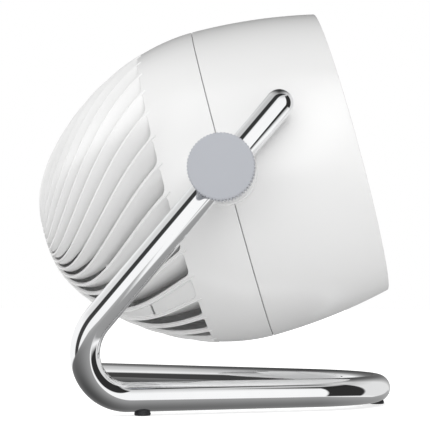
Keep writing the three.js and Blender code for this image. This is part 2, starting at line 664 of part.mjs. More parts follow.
function ductShell() {
  const end = DUCT_START + DUCT_LENGTH;
  const middle = BLADE_PLANE;
  const throatHalf = DUCT_LENGTH / 4;
  const flared = ductThroat + DUCT_FLARE;
  const flangeRadius = headRadiusAt(DUCT_START) - SHELL_WALL - 1;
  const profile = [
    [DUCT_START, ductThroat + 1],
    [middle - throatHalf, ductThroat],
    [middle + throatHalf, ductThroat],
    [end, flared],
    [end, flared + DUCT_WALL],
    [middle + throatHalf, ductThroat + DUCT_WALL],
    [DUCT_START + DUCT_WALL, ductThroat + DUCT_WALL + 1],
    [DUCT_START + DUCT_WALL, flangeRadius],
    [DUCT_START, flangeRadius],
  ];
  const shell = solid(turned(profile));
  const plateRing = [shaftHole / 2 + PLATE_EDGE, MOTOR_RADIUS - PLATE_EDGE];
  const plate = solid(ring(DUCT_START, DUCT_START + SPOKE_DEPTH, ...plateRing, MOTOR_FACETS));
  const spokes = spokeAngles.map((angle) => {
    const bar = new THREE.BoxGeometry(SPOKE_DEPTH, ductThroat + 1 - ROTOR_RADIUS, SPOKE_WIDTH);
    const middleRadius = (ductThroat + 1 + ROTOR_RADIUS) / 2;
    return solid(bar.translate(DUCT_START + SPOKE_DEPTH / 2, middleRadius, 0).rotateX(angle));
  });
  const screwHoles = [...ductScrews(), ...motorScrews()].map(({ y, z }) =>
    solid(rod(DUCT_START - 1, DUCT_START + SPOKE_DEPTH + 1, SCREW_DIAMETER / 2 + GAP, y, z, 8)));
  const washerRadius = WASHER_DIAMETER / 2 + GAP;
  const washerRoom = atHeadPivot(disc(washerFrom - GAP, HEAD_RADIUS, washerRadius, HUB_FACETS));
  return cut(join([shell, plate, ...spokes]), [...screwHoles, solid(washerRoom)]);
}

const ductScrews = () => spokeAngles.map((angle) => outwardAt(ductScrewRadius, angle));
const motorScrewRadius = MOTOR_RADIUS - MOTOR_SCREW_INSET;
const motorScrews = () => spokeAngles.map((angle) => outwardAt(motorScrewRadius, angle));

function grilleFace(radius) {
  return grilleFrameFront + GRILLE_DOME * (1 - (radius / grilleOuter) ** 2);
}

const capSeat = grilleFace(CAP_RADIUS) - CAP_SUNK;

function vane(startAngle) {
  const steps = 5;
  const from = CAP_RADIUS - 2;
  const to = grilleOuter - 1;
  const stations = Array.from({ length: steps + 1 }, (_, i) => {
    const radius = from + ((to - from) * i) / steps;
    const share = (radius - from) / (to - from);
    const angle = startAngle + rad(VANE_SWEEP) * share ** 1.4;
    const swing = (1.4 * rad(VANE_SWEEP) * share ** 0.4 * radius) / (to - from);
    const travel = outward(angle).addScaledVector(around(angle), swing).normalize();
    const side = travel.clone().cross(new THREE.Vector3(1, 0, 0)).multiplyScalar(VANE_THICK / 2);
    const front = grilleFace(radius);
    const depth = GRILLE_RING_DEPTH - 1;
    const at = (axial, sign) => outward(angle).multiplyScalar(radius).addScaledVector(side, sign).setX(axial);
    return [at(front, -1), at(front, 1), at(front - depth, 1), at(front - depth, -1)];
  });
  return solid(strip(stations));
}

function frontGrille() {
  const back = GRILLE_SEAT + GAP;
  const within = grilleOuter - GRILLE_RING_WIDTH;
  const frame = turnedFrom(finCorner(slotRadius), [
    [back, within], [grilleFrameFront, within], [grilleFrameFront, grilleOuter], [back, grilleOuter],
  ]);
  const centre = disc(capSeat - GRILLE_RING_DEPTH + 3, capSeat, CAP_RADIUS, GRILLE_VANES);
  const capRecess = disc(capSeat, FRONT_DEPTH + CAP_THICK, CAP_RADIUS + CAP_LIP + GAP, GRILLE_VANES);
  const vanes = Array.from({ length: GRILLE_VANES }, (_, i) => vane(rad((360 * i) / GRILLE_VANES)));
  return join([solid(frame), ...vanes]).subtract(solid(capRecess)).add(solid(centre));
}

function grilleCap() {
  const back = capSeat + GAP;
  const radius = CAP_RADIUS + CAP_LIP;
  const crown = [back + (CAP_EDGE + 2 * CAP_THICK) / 3, radius * 0.8];
  const profile = [[back, 0], [back, radius], [back + CAP_EDGE, radius], crown, [back + CAP_THICK, 0]];
  return turned(profile, GRILLE_VANES);
}

// A screw along the X axis: its head's seat is at "seat" and its tip points backwards.
function screw(seat, { y, z }) {
  const tip = seat - SCREW_LENGTH * 0.8;
  const top = seat + SCREW_HEAD_THICK;
  const profile = [
    [top, 0], [top, SCREW_HEAD / 2 - 0.6], [seat, SCREW_HEAD / 2], [seat, SCREW_DIAMETER / 2],
    [tip, SCREW_DIAMETER / 2], [tip - 1.2, 0],
  ];
  return turned(profile, 8).translate(0, y, z);
}

// ---------------------------------------------------------------- motor
const motorFront = DUCT_START - GAP;
const statorFront = motorFront - BELL_DEPTH - GAP;
const statorRear = statorFront - STATOR_LENGTH;
const motorRear = statorRear - GAP - BELL_DEPTH;

// A cup that closes at "closed" and opens towards "open", with a bearing pocket and a shaft hole.
function bell(closed, open) {
  const way = Math.sign(open - closed);
  const floor = closed + way * MOTOR_WALL;
  const pocket = BEARING_DIAMETER / 2 + GAP;
  const pocketEnd = floor + way * BEARING_WIDTH;
  return turned([
    [closed, shaftHole / 2 + 1], [closed, MOTOR_RADIUS - 3], [closed + way * 3, MOTOR_RADIUS],
    [open, MOTOR_RADIUS], [open, MOTOR_RADIUS - MOTOR_WALL], [floor, MOTOR_RADIUS - MOTOR_WALL],
    [floor, pocket + 2], [pocketEnd, pocket + 2], [pocketEnd, pocket], [floor, pocket],
    [floor, shaftHole / 2 + 1],
  ], MOTOR_FACETS);
}

function bearing(pocketFloor, way) {
  const from = pocketFloor + way * GAP;
  return ring(from, from + way * BEARING_WIDTH, shaftHole / 2, BEARING_DIAMETER / 2);
}

function buildMotor(head) {
  const pilots = motorScrews().map(({ y, z }) =>
    solid(rod(motorFront - SCREW_LENGTH, motorFront + 1, SCREW_DIAMETER / 2 + GAP, y, z, 8)));
  const lands = motorScrews().map(({ y, z }) =>
    solid(rod(motorFront - SCREW_LENGTH, motorFront - 1, SCREW_DIAMETER / 2 + 2.5, y, z, 8)));
  const frontBell = cut(join([solid(bell(motorFront, statorFront + GAP)), ...lands]), pilots);
  piece(head, 'motor_front_bell', 'steel', frontBell);
  piece(head, 'motor_rear_bell', 'steel', bell(motorRear, statorRear - GAP));
  const bore = ROTOR_RADIUS + AIR_GAP;
  piece(head, 'stator_core', 'steel', ring(statorRear, statorFront, bore, MOTOR_RADIUS, MOTOR_FACETS));
  const coilDepth = BELL_DEPTH - MOTOR_WALL - BEARING_WIDTH - 2 * COIL_ROOM;
  const cupInside = MOTOR_RADIUS - MOTOR_WALL;
  const coil = (face, way) => turned([
    [face, bore + COIL_ROOM], [face + way * coilDepth, bore + 2 * COIL_ROOM],
    [face + way * coilDepth, cupInside - 3 * COIL_ROOM], [face, cupInside - 1.5 * COIL_ROOM],
  ], MOTOR_FACETS);
  const clearPilots = motorScrews().map(({ y, z }) =>
    solid(rod(motorFront - SCREW_LENGTH - 2, motorFront, SCREW_DIAMETER / 2 + 3, y, z, 8)));
  piece(head, 'winding_front', 'copper', cut(solid(coil(statorFront + GAP, 1)), clearPilots));
  piece(head, 'winding_rear', 'copper', coil(statorRear - GAP, -1));
  piece(head, 'bearing_front', 'steel', bearing(motorFront - MOTOR_WALL, -1));
  piece(head, 'bearing_rear', 'steel', bearing(motorRear + MOTOR_WALL, 1));
  const capacitorEnd = motorRear - GAP;
  // clear of the switch, however deep the bowl is
  const below = SWITCH_WIDTH / 2 + CAPACITOR_DIAMETER / 2 + GAP;
  const capacitor = rod(capacitorEnd - CAPACITOR_LENGTH, capacitorEnd, CAPACITOR_DIAMETER / 2, 0, -below);
  piece(head, 'run_capacitor', 'dark_plastic', capacitor);
}

// ---------------------------------------------------------------- rotor
const bladeHubBack = DUCT_START + 2 * SPOKE_DEPTH;
const bladeHubFront = BLADE_PLANE + BLADE_HUB_FRONT;

function blade(startAngle) {
  const sections = 5;
  const across = 3;
  const rootRadius = BLADE_HUB_RADIUS - BLADE_THICK / 2;
  const rings = Array.from({ length: sections + 1 }, (_, j) => {
    const share = j / sections;
    const radius = rootRadius + share * (bladeRadius - rootRadius);
    const pitch = rad(BLADE_ROOT_PITCH + (BLADE_TIP_PITCH - BLADE_ROOT_PITCH) * share);
    const chord = BLADE_CHORD * (0.5 + 0.5 * Math.sin(Math.PI * (0.12 + 0.62 * share)));
    const fall = 0.35 * share ** 2; // the blade sweeps back towards its tip
    const point = (s, side) => {
      const camber = 0.07 * chord * (1 - 4 * s * s);
      const thick = (BLADE_THICK / 2) * Math.sqrt(Math.max(1 - 3.6 * s * s, 0.08));
      const lift = camber + side * thick;
      const along = s * chord * Math.cos(pitch) - lift * Math.sin(pitch);
      const axial = BLADE_PLANE + s * chord * Math.sin(pitch) + lift * Math.cos(pitch);
      const angle = startAngle + fall + along / radius;
      return outward(angle).multiplyScalar(radius).setX(axial);
    };
    const steps = Array.from({ length: across + 1 }, (_, i) => i / across - 0.5);
    return [...steps.map((s) => point(s, 1)), ...steps.toReversed().map((s) => point(s, -1))];
  });
  return solid(loft(rings));
}

function fanBlade() {
  const outer = BLADE_HUB_RADIUS;
  const inner = outer - BLADE_THICK;
  const front = bladeHubFront;
  const nose = front + BLADE_HUB_CROWN;
  const shoulder = front - BLADE_HUB_FRONT / 2;
  const boss = BLADE_BOSS_RADIUS;
  const cup = solid(turned([
    [nose, shaftHole / 2], [nose, boss + BLADE_HUB_CROWN], [front, outer * 0.76], [shoulder, outer],
    [bladeHubBack, outer], [bladeHubBack, inner], [shoulder - BLADE_THICK / 2, inner],
    [front - BLADE_THICK, boss], [bladeHubBack, boss], [bladeHubBack, shaftHole / 2],
  ], 30));
  const blades = Array.from({ length: BLADE_COUNT }, (_, i) => blade((2 * Math.PI * i) / BLADE_COUNT));
  return join([cup, ...blades]);
}

function buildRotor(rotor) {
  piece(rotor, 'fan_blade', 'smoke_plastic', fanBlade());
  const nutBack = bladeHubFront + BLADE_HUB_CROWN + GAP;
  const nutFront = nutBack + BLADE_NUT_LENGTH;
  const shaft = disc(motorRear - SHAFT_TAIL, nutFront + SHAFT_TAIL / 2, SHAFT_DIAMETER / 2);
  piece(rotor, 'motor_shaft', 'steel', shaft);
  const core = ring(statorRear, statorFront, SHAFT_DIAMETER / 2 + GAP, ROTOR_RADIUS, MOTOR_FACETS);
  piece(rotor, 'rotor_core', 'steel', core);
  piece(rotor, 'blade_nut', 'brass', nut(nutBack, nutFront, SHAFT_DIAMETER / 2 + GAP, SHAFT_DIAMETER));
}

// ---------------------------------------------------------------- pivot: hub, knob and clamp
function buildPivot(head) {
  const shellSkin = headEnvelope(-GAP);
  const studBore = solid(atHeadPivot(disc(neckEnd - 1, padFace + 1, studHole / 2)));
  const insertRadius = STUD_DIAMETER / 2 + INSERT_WALL;
  const insertPocket = solid(atHeadPivot(disc(neckEnd - 1, neckEnd + INSERT_DEPTH, insertRadius + GAP)));
  const padDisc = atHeadPivot(disc(HEAD_RADIUS - PAD_SKIRT, padFace, PAD_DIAMETER / 2, DISC_FACETS));
  const pad = solid(padDisc).subtract(shellSkin);
  const neck = solid(atHeadPivot(disc(neckEnd, padFace, NECK_DIAMETER / 2, HUB_FACETS)));
  piece(head, 'pivot_hub', 'gloss_white', cut(pad.add(neck), [studBore, insertPocket]));
  const insert = ring(neckEnd, neckEnd + INSERT_DEPTH - GAP, studHole / 2, insertRadius);
  piece(head, 'threaded_insert', 'brass', atHeadPivot(insert));

  const innerSkin = headEnvelope(SHELL_WALL + GAP);
  const bore = NECK_DIAMETER / 2 + GAP;
  const washer = ring(washerFrom, HEAD_RADIUS, bore, WASHER_DIAMETER / 2, HUB_FACETS);
  const tongueUnder = HEAD_RADIUS - SHELL_WALL - GAP - TONGUE_THICK;
  const tongueSpace = solid(turnedFrom(finCorner(slotRadius), [
    [-TONGUE_REACH - TONGUE_THICK - GAP, tongueUnder - GAP], [TONGUE_REACH + GAP, tongueUnder - GAP],
    [TONGUE_REACH + GAP, HEAD_RADIUS], [-TONGUE_REACH - TONGUE_THICK - GAP, HEAD_RADIUS],
  ]));
  piece(head, 'hub_washer', 'steel', cut(solid(atHeadPivot(washer)).intersect(innerSkin), [tongueSpace]));
  const nutCorner = (bore + HUB_NUT_WALL) / Math.cos(Math.PI / 6);
  const nutBody = nut(washerFrom - GAP - HUB_NUT_THICK, washerFrom - GAP, bore, nutCorner);
  piece(head, 'hub_nut', 'nylon', atHeadPivot(geometryOf(nutBody)));
}

function flutedOutline() {
  const outline = new THREE.Shape();
  for (let i = 0; i < 2 * KNOB_FLUTES; i++) {
    const radius = KNOB_DIAMETER / 2 - (i % 2) * KNOB_FLUTE_DEPTH;
    const angle = (Math.PI * i) / KNOB_FLUTES;
    const place = [radius * Math.cos(angle), radius * Math.sin(angle)];
    if (i) outline.lineTo(...place);
    else outline.moveTo(...place);
  }
  outline.closePath();
  return outline;
}

function buildKnob(knob) {
  const knobFace = knobBack + KNOB_DEPTH;
  const faceBack = knobFace - KNOB_FACE_THICK;
  const boreEnd = faceBack - KNOB_WEB;
  const faceRadius = KNOB_DIAMETER / 2 - KNOB_RIM;
  const fluted = new THREE.ExtrudeGeometry(flutedOutline(), { depth: KNOB_DEPTH, bevelEnabled: false });
  fluted.rotateX(Math.PI / 2).translate(0, -knobBack, PIVOT_HEIGHT);
  const hollowRadius = KNOB_DIAMETER / 2 - KNOB_WALL;
  const hollow = atPivot(ring(knobBack - 1, boreEnd, KNOB_BOSS_RADIUS, hollowRadius, HUB_FACETS));
  const faceSeat = atPivot(disc(faceBack - GAP, knobFace + 1, faceRadius + GAP, DISC_FACETS));
  const bore = atPivot(disc(knobBack - 1, boreEnd, STUD_DIAMETER / 2 + GAP));
  piece(knob, 'knob_grip', 'blue_grey', cut(solid(fluted), [hollow, faceSeat, bore].map(solid)));
  piece(knob, 'knob_face', 'blue_grey', atPivot(disc(faceBack, knobFace, faceRadius, DISC_FACETS)));
  piece(knob, 'clamp_stud', 'steel', atPivot(disc(neckEnd + 1, boreEnd - GAP, STUD_DIAMETER / 2)));
}

// ---------------------------------------------------------------- rear dial and cord gland
function dialOutline() {
  const radius = DIAL_DIAMETER / 2;
  const grip = ring(-BOWL_DEPTH, -BOWL_DEPTH + DIAL_THICK, SPINDLE_DIAMETER / 2 + GAP, radius, 30);
  const notch = new THREE.BoxGeometry(2 * DIAL_NOTCH_DEPTH, DIAL_NOTCH_WIDTH, DIAL_NOTCH_LENGTH);
  notch.translate(-BOWL_DEPTH, 0, radius - DIAL_NOTCH_FROM_RIM - DIAL_NOTCH_LENGTH / 2);
  return solid(grip).subtract(solid(notch));
}

function buildDial(dial) {
  piece(dial, 'speed_dial', 'blue_grey', dialOutline());
  const inside = -BOWL_DEPTH + HUB_THICK;
  const spindle = disc(-BOWL_DEPTH + SPINDLE_SUNK, inside + GAP + SPINDLE_IN_SWITCH, SPINDLE_DIAMETER / 2);
  piece(dial, 'dial_spindle', 'steel', spindle);
}

function buildSwitch(head) {
  const inside = -BOWL_DEPTH + HUB_THICK + GAP;
  const body = new THREE.BoxGeometry(SWITCH_DEPTH, SWITCH_WIDTH, SWITCH_WIDTH);
  body.translate(inside + SWITCH_DEPTH / 2, 0, 0);
  const hole = solid(disc(inside - 1, inside + SPINDLE_IN_SWITCH + 1, SPINDLE_DIAMETER / 2 + RUN_GAP));
  piece(head, 'speed_switch', 'dark_plastic', solid(body).subtract(hole));
}

// A rubber ring whose groove holds the edge of the hole.
function cordGland() {
  const outside = 2 * GAP; // the lips clear the round band on both sides
  const inside = -SHELL_WALL - 3 * GAP;
  const neck = GLAND_DIAMETER / 2;
  const lip = neck + GLAND_LIP;
  const barb = neck + GLAND_LIP * 0.4;
  const bore = GLAND_BORE / 2;
  return atGland(turned([
    [inside - GLAND_LIP_THICK, bore], [outside + GLAND_LIP_THICK, bore], [outside + GLAND_LIP_THICK, lip - 1],
    [outside, lip], [outside, neck], [inside, neck], [inside, barb], [inside - GLAND_LIP_THICK, neck],
  ], SMALL_FACETS));
}

// ---------------------------------------------------------------- assembly
function buildHead(head) {
  piece(head, 'rear_shell', 'gloss_white', rearShell());
  piece(head, 'front_shell', 'gloss_white', frontShell());
  piece(head, 'front_grille', 'smoke_plastic', frontGrille());
  piece(head, 'grille_cap', 'gloss_white', grilleCap());
  piece(head, 'fan_duct', 'dark_plastic', ductShell());
  piece(head, 'cord_gland', 'rubber', cordGland());
  const flangeTop = DUCT_START + DUCT_WALL + GAP;
  const plateTop = DUCT_START + SPOKE_DEPTH + GAP;
  ductScrews().forEach((place, i) => piece(head, `duct_screw_${i + 1}`, 'steel', screw(flangeTop, place)));
  motorScrews().forEach((place, i) => piece(head, `motor_screw_${i + 1}`, 'steel', screw(plateTop, place)));
  buildMotor(head);
  buildPivot(head);
  buildSwitch(head);
}

const fan = new THREE.Group();
const stand = new THREE.Group();
const knob = new THREE.Group();
const head = new THREE.Group();
head.rotation.y = -rad(HEAD_TILT);
head.position.set(
  PIVOT_BEHIND_SEAM * Math.cos(rad(HEAD_TILT)) - PIVOT_BELOW_AXIS * Math.sin(rad(HEAD_TILT)),
  0,
  PIVOT_HEIGHT + PIVOT_BEHIND_SEAM * Math.sin(rad(HEAD_TILT)) + PIVOT_BELOW_AXIS * Math.cos(rad(HEAD_TILT)),
);
const rotor = new THREE.Group();
const dial = new THREE.Group();
head.add(rotor, dial);
fan.add(stand, knob, head);
buildStand(stand);
buildKnob(knob);
buildHead(head);
buildRotor(rotor);
buildDial(dial);

// The origin is under the middle of the whole object, on the floor.
fan.updateMatrixWorld(true);
const extent = new THREE.Box3().setFromObject(fan, true);
const middle = extent.getCenter(new THREE.Vector3());
fan.position.set(-middle.x, -middle.y, -extent.min.z);

export default fan;
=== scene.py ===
"""Looks of the air circulator fan: white swirl-slotted shells, a chromed tube stand and a clamp knob."""
import json
import math

import bmesh
import bpy
from mathutils import Matrix, Vector


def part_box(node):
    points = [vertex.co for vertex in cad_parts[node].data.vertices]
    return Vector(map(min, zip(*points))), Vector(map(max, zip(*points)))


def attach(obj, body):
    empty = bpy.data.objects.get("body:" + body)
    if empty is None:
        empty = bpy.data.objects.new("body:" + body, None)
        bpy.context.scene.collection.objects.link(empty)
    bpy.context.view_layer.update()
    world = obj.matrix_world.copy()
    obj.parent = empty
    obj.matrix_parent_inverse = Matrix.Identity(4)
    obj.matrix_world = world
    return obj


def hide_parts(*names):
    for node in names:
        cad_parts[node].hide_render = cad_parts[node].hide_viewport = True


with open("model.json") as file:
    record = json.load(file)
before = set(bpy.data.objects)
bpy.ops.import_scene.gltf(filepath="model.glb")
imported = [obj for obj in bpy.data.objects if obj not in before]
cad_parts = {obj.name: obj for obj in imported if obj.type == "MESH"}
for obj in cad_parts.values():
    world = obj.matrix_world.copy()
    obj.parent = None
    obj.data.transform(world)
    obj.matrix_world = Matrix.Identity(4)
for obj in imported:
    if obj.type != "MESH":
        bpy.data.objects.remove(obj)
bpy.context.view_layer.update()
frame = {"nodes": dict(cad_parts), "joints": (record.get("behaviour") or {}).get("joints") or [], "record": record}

MM = 0.001
JOINTS = {joint["name"]: joint for joint in frame["joints"]}

# ---------------------------------------------------------------- places from the frame
PIVOT = Vector(JOINTS["head_tilt"]["pos_m"])
SEAM = Vector(JOINTS["fan_spin"]["pos_m"])
AXIS = Vector(JOINTS["fan_spin"]["axis"]).normalized()
FAR = Vector((0, 1, 0))
RISE = AXIS.cross(FAR)

# ---------------------------------------------------------------- sizes, millimetres and degrees
GAP = 0.3  # between pieces that touch
RUN_GAP = 0.35  # round pieces that turn

TUBE_RADIUS = 9.5
ARM_ANGLE = 50.8  # above the floor, seen from the side
ARM_SPLAY = 6.9  # outwards as the arm goes down
ARM_ABOVE_PIVOT = 57
BEND_RADIUS = 31
NOSE_RADIUS = 77.7
NOSE_REACH = 104.7  # from the tilt axis to the nose's centre line
FAR_LEG_REACH = 122
FOOT_HEIGHT = 2.4
FOOT_BELLY = 1.6  # the height where the foot is widest
FOOT_RADIUS = 5.35
FOOT_IN_TUBE = 2.2

HEAD_RADIUS = 114
SHELL_WALL = 2.6
SEAM_GAP = 0.5
# control points (axial, radius) of the head's outline, a hair inside that of the solids
BOWL = ((0, 114), (-73.3, 114), (-140.45, 51.6), (-140.45, 18))
FRONT = ((0, 114), (45, 113.5), (88.3, 103.35))
SLOT_END = 41.9  # behind the seam
UPPER_CORNER = 2.2  # of each slot
LOWER_CORNER = 3.8
SLOT_EDGE = 0.42
HUB_RADIUS = 23
HUB_THICK = 11
TONGUE_REACH = 4
TONGUE_THICK = 2
RING_BEHIND = 96
RING_SUNK = 7.5
RING_BAR = 4
BLANK_SUNK = 1.3  # the closed slot's floor
BLANK_THICK = 1.8
BLANK_NOTCH = 33
BLANK_NOTCH_WIDTH = 1.6
BLANK_LENGTH = 63

VANE_COUNT = 34
VANE_SWEEP = 0.97  # round the axis for each millimetre nearer to it
VANE_PHASE = 34.3
VANE_LEAN = 58
VANE_EDGE = 2.9
VANE_FOOT = 1.5
VANE_REACH = 0.9  # of the way to the next vane
FRONT_REACH = 0.12  # more at the slots' ends, fading over FRONT_RUN
FRONT_RUN = 26
STEP_AXIAL = -97.5  # from here to the pole the vanes are shallower
STEP_REACH = 0.9  # of their reach before the step
POLE_LOSS = 0.25  # less at the pole, growing over POLE_RUN
POLE_RUN = 22

LEDGE = 72
LEDGE_THICK = 2.4
LEDGE_WIDTH = 6
GRILLE_BACK = LEDGE + GAP
GRILLE_FRONT = 80.3
GRILLE_RING = 3.2
GRILLE_DOME = 5
GRILLE_VANES = 24
GRILLE_SWEEP = 62
GRILLE_CURL = 1.4
CAP_RADIUS = 26
CAP_RIM = 2.5
CAP_CROWN = 2.3

BLADE_COUNT = 5
BLADE_RADIUS = 94
BLADE_HUB = 34
BLADE_CHORD = 74
BLADE_ROOT_PITCH = 46
BLADE_TIP_PITCH = 24
BLADE_PLANE = 10
BLADE_THICK = 2.2
BLADE_CAMBER = 0.07  # of the chord
BLADE_SKEW = 0.35  # radians, from root to tip
DUCT_THROAT = 97.5
DUCT_START = -24
DUCT_END = 34
DUCT_FLARE = 5
DUCT_WALL = 2.2
DUCT_SCREW_RADIUS = 104
POST_WALL = 3.3
SPOKE_ANGLES = [math.radians(a) for a in (45, 135, 225, 315)]
SPOKE_HALF = 4.5
SPOKE_DEPTH = 4
PLATE_BORE = 8.35
PLATE_RADIUS = 34
MOTOR_RADIUS = 38
MOTOR_WALL = 2.5
MOTOR_BACK = -84.9
BELL_DEPTH = 18
BELL_BORE = 5.35
BEARING_SEAT = 9.8
BEARING_WIDTH = 6
STATOR_BACK = -66.6
STATOR_FRONT = -42.6
STATOR_BORE = 21.1
STATOR_PLATES = 16
CAN_RADIUS = 11
CAN_LENGTH = 26
CAN_LOWER = 24.3  # under the motor's axis
DIAL_RADIUS = 15
DIAL_THICK = 3
DIAL_BORE = 3.3
DIAL_HOLLOW = 0.35

PAD_RADIUS = 21.5
PAD_THICK = 3.6
PAD_SKIRT = 14.5
NECK_RADIUS = 12
NECK_REACH = 16
STUD_HOLE = 4.4
KNOB_RADIUS = 21.3
KNOB_FLUTES = 60
FLUTE_DEPTH = 0.95

# ---------------------------------------------------------------- camera and light
CAMERA_OFFSET = (45.194, -1021.163, -85.972)  # from the head's seam centre, millimetres
CAMERA_TURN = (3.27, 3.546, 0.216)  # yaw, pitch and roll, degrees
FOCAL_PIXELS = 1401.75
PHOTO_PIXELS = 430

LAMP_PLACE = (-0.15, -1.35, 1.0)  # metres, as are its aim and size
LAMP_AIM = (0, 0, 0.16)
LAMP_SIZE = (2.0, 2.1)
LAMP_POWER = 12.9  # watts
SOFT_LIGHT = 0.42
LEAST_SOFT = 0.55  # of the soft light, from the near side and from the right
FLOOR_BOUNCE = 0.22
FLOOR_GLOW = 0.6


# ---------------------------------------------------------------- small helpers
def outward(angle):
    """The way out from the head's axis: angle 0 is the near side and a quarter turn is down."""
    return -math.cos(angle) * FAR - math.sin(angle) * RISE


def roundward(angle):
    """The way round the head's axis in which the angle grows."""
    return math.sin(angle) * FAR - math.cos(angle) * RISE


def head_point(axial, radius, angle):
    """A point of the head; sizes in millimetres."""
    return SEAM + (axial * AXIS + radius * outward(angle)) * MM


def bezier(points, t):
    points = [Vector(p) for p in points]
    while len(points) > 1:
        points = [a.lerp(b, t) for a, b in zip(points, points[1:])]
    return points[0]


def slope(points, t):
    step = 1e-4
    return (bezier(points, min(t + step, 1)) - bezier(points, max(t - step, 0))).normalized()


def where(points, axis, value):
    """The place on a curve where one coordinate reaches a value."""
    low, high = 0.0, 1.0
    rising = bezier(points, 1)[axis] > bezier(points, 0)[axis]
    for _ in range(50):
        middle = (low + high) / 2
        if (bezier(points, middle)[axis] > value) == rising:
            high = middle
        else:
            low = middle
    return (low + high) / 2


def inset(points, t, distance):
    """A point of a head curve, moved inwards."""
    point = bezier(points, t)
    tangent = slope(points, t)
    side = 1 if points is BOWL else -1
    return point.x - side * distance * tangent.y, point.y + side * distance * tangent.x


def spread(first, last, steps):
    return [first + (last - first) * i / steps for i in range(steps + 1)]


def new_piece(name, vertices, faces, crease):
    """A mesh object with shared points merged, faces turned outwards and its sharp edges marked."""
    mesh = bpy.data.meshes.new(name)
    mesh.from_pydata([tuple(v) for v in vertices], [], faces)
    piece = bpy.data.objects.new(name, mesh)
    bpy.context.scene.collection.objects.link(piece)
    shape = bmesh.new()
    shape.from_mesh(mesh)
    bmesh.ops.remove_doubles(shape, verts=shape.verts, dist=1e-6)
    bmesh.ops.dissolve_degenerate(shape, edges=shape.edges, dist=1e-7)
    bmesh.ops.recalc_face_normals(shape, faces=shape.faces)
    shape.to_mesh(mesh)
    shape.free()
    mesh.shade_smooth()
    mesh.set_sharp_from_angle(angle=math.radians(crease))
    return piece


def ring_faces(rings, count, closed=True):
    faces = []
    for j in range(rings - 1):
        for i in range(count if closed else count - 1):
            k = (i + 1) % count
            faces.append((j * count + i, j * count + k, (j + 1) * count + k, (j + 1) * count + i))
    return faces


def tube_faces(rings, count, base=0):
    """The faces of closed rings with flat ends, for points that start at a base."""
    faces = [tuple(base + i for i in face) for face in ring_faces(rings, count)]
    faces.append(tuple(base + i for i in reversed(range(count))))
    faces.append(tuple(base + (rings - 1) * count + i for i in range(count)))
    return faces


def lofted(name, rings, crease):
    """Closed rings of points joined into one skin with flat ends."""
    vertices = [p for ring in rings for p in ring]
    return new_piece(name, vertices, tube_faces(len(rings), len(rings[0])), crease)


def turned(name, profile, place, segments, crease=35):
    """A profile of (axial, radius) revolved; place(axial, radius, angle) gives each point."""
    angles = [2 * math.pi * i / segments for i in range(segments)]
    vertices = [place(axial, max(radius, 0), angle) for axial, radius in profile for angle in angles]
    faces = ring_faces(len(profile), segments)
    if profile[0][1] > 0:
        last = (len(profile) - 1) * segments
        for i in range(segments):
            k = (i + 1) % segments
            faces.append((last + i, last + k, k, i))
    return new_piece(name, vertices, faces, crease)


def rounded(profile, radius, steps=4):
    """A closed profile of (x, y, round_it) with the corners that carry True rounded."""
    result = []
    for i, (x, y, round_it) in enumerate(profile):
        if not round_it:
            result.append((x, y))
            continue
        here = Vector((x, y))
        before = Vector(profile[i - 1][:2]) - here
        after = Vector(profile[(i + 1) % len(profile)][:2]) - here
        reach = min(radius, before.length * 0.48, after.length * 0.48)
        start = here + before.normalized() * reach
        end = here + after.normalized() * reach
        for k in range(steps + 1):
            s = k / steps
            point = start * (1 - s) ** 2 + here * 2 * s * (1 - s) + end * s ** 2
            result.append((point.x, point.y))
    return result


def bar(name, low, high, angle, width=0.8):
    """A box with round edges between two corners (axial, outwards, sideways), turned round the head's axis.

    Angle 0 is the far side and a quarter turn is up.
    """
    out, round_way = -outward(angle), -roundward(angle)
    corners = [SEAM + (AXIS * a + out * r + round_way * c) * MM
               for a in (low[0], high[0]) for r in (low[1], high[1]) for c in (low[2], high[2])]
    faces = [(0, 1, 3, 2), (4, 6, 7, 5), (0, 4, 5, 1), (2, 3, 7, 6), (0, 2, 6, 4), (1, 5, 7, 3)]
    piece = new_piece(name, corners, faces, crease=30)
    bevel = piece.modifiers.new("edge", "BEVEL")
    bevel.width = width * MM
    bevel.segments = 3
    return applied(piece)


def joined(name, pieces):
    bpy.ops.object.select_all(action="DESELECT")
    for piece in pieces:
        piece.select_set(True)
    bpy.context.view_layer.objects.active = pieces[0]
    bpy.ops.object.join()
    pieces[0].name = name
    pieces[0].data.name = name
    return pieces[0]


def applied(piece):
    """The piece with its modifiers made real."""
    graph = bpy.context.evaluated_depsgraph_get()
    mesh = bpy.data.meshes.new_from_object(piece.evaluated_get(graph))
    piece.modifiers.clear()
    piece.data = mesh
    return piece


def dress(piece, body, material, slot, *nodes):
    piece.data.materials.clear()
    piece.data.materials.append(material)
    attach(piece, body)
    if nodes:
        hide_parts(*nodes)
    return piece


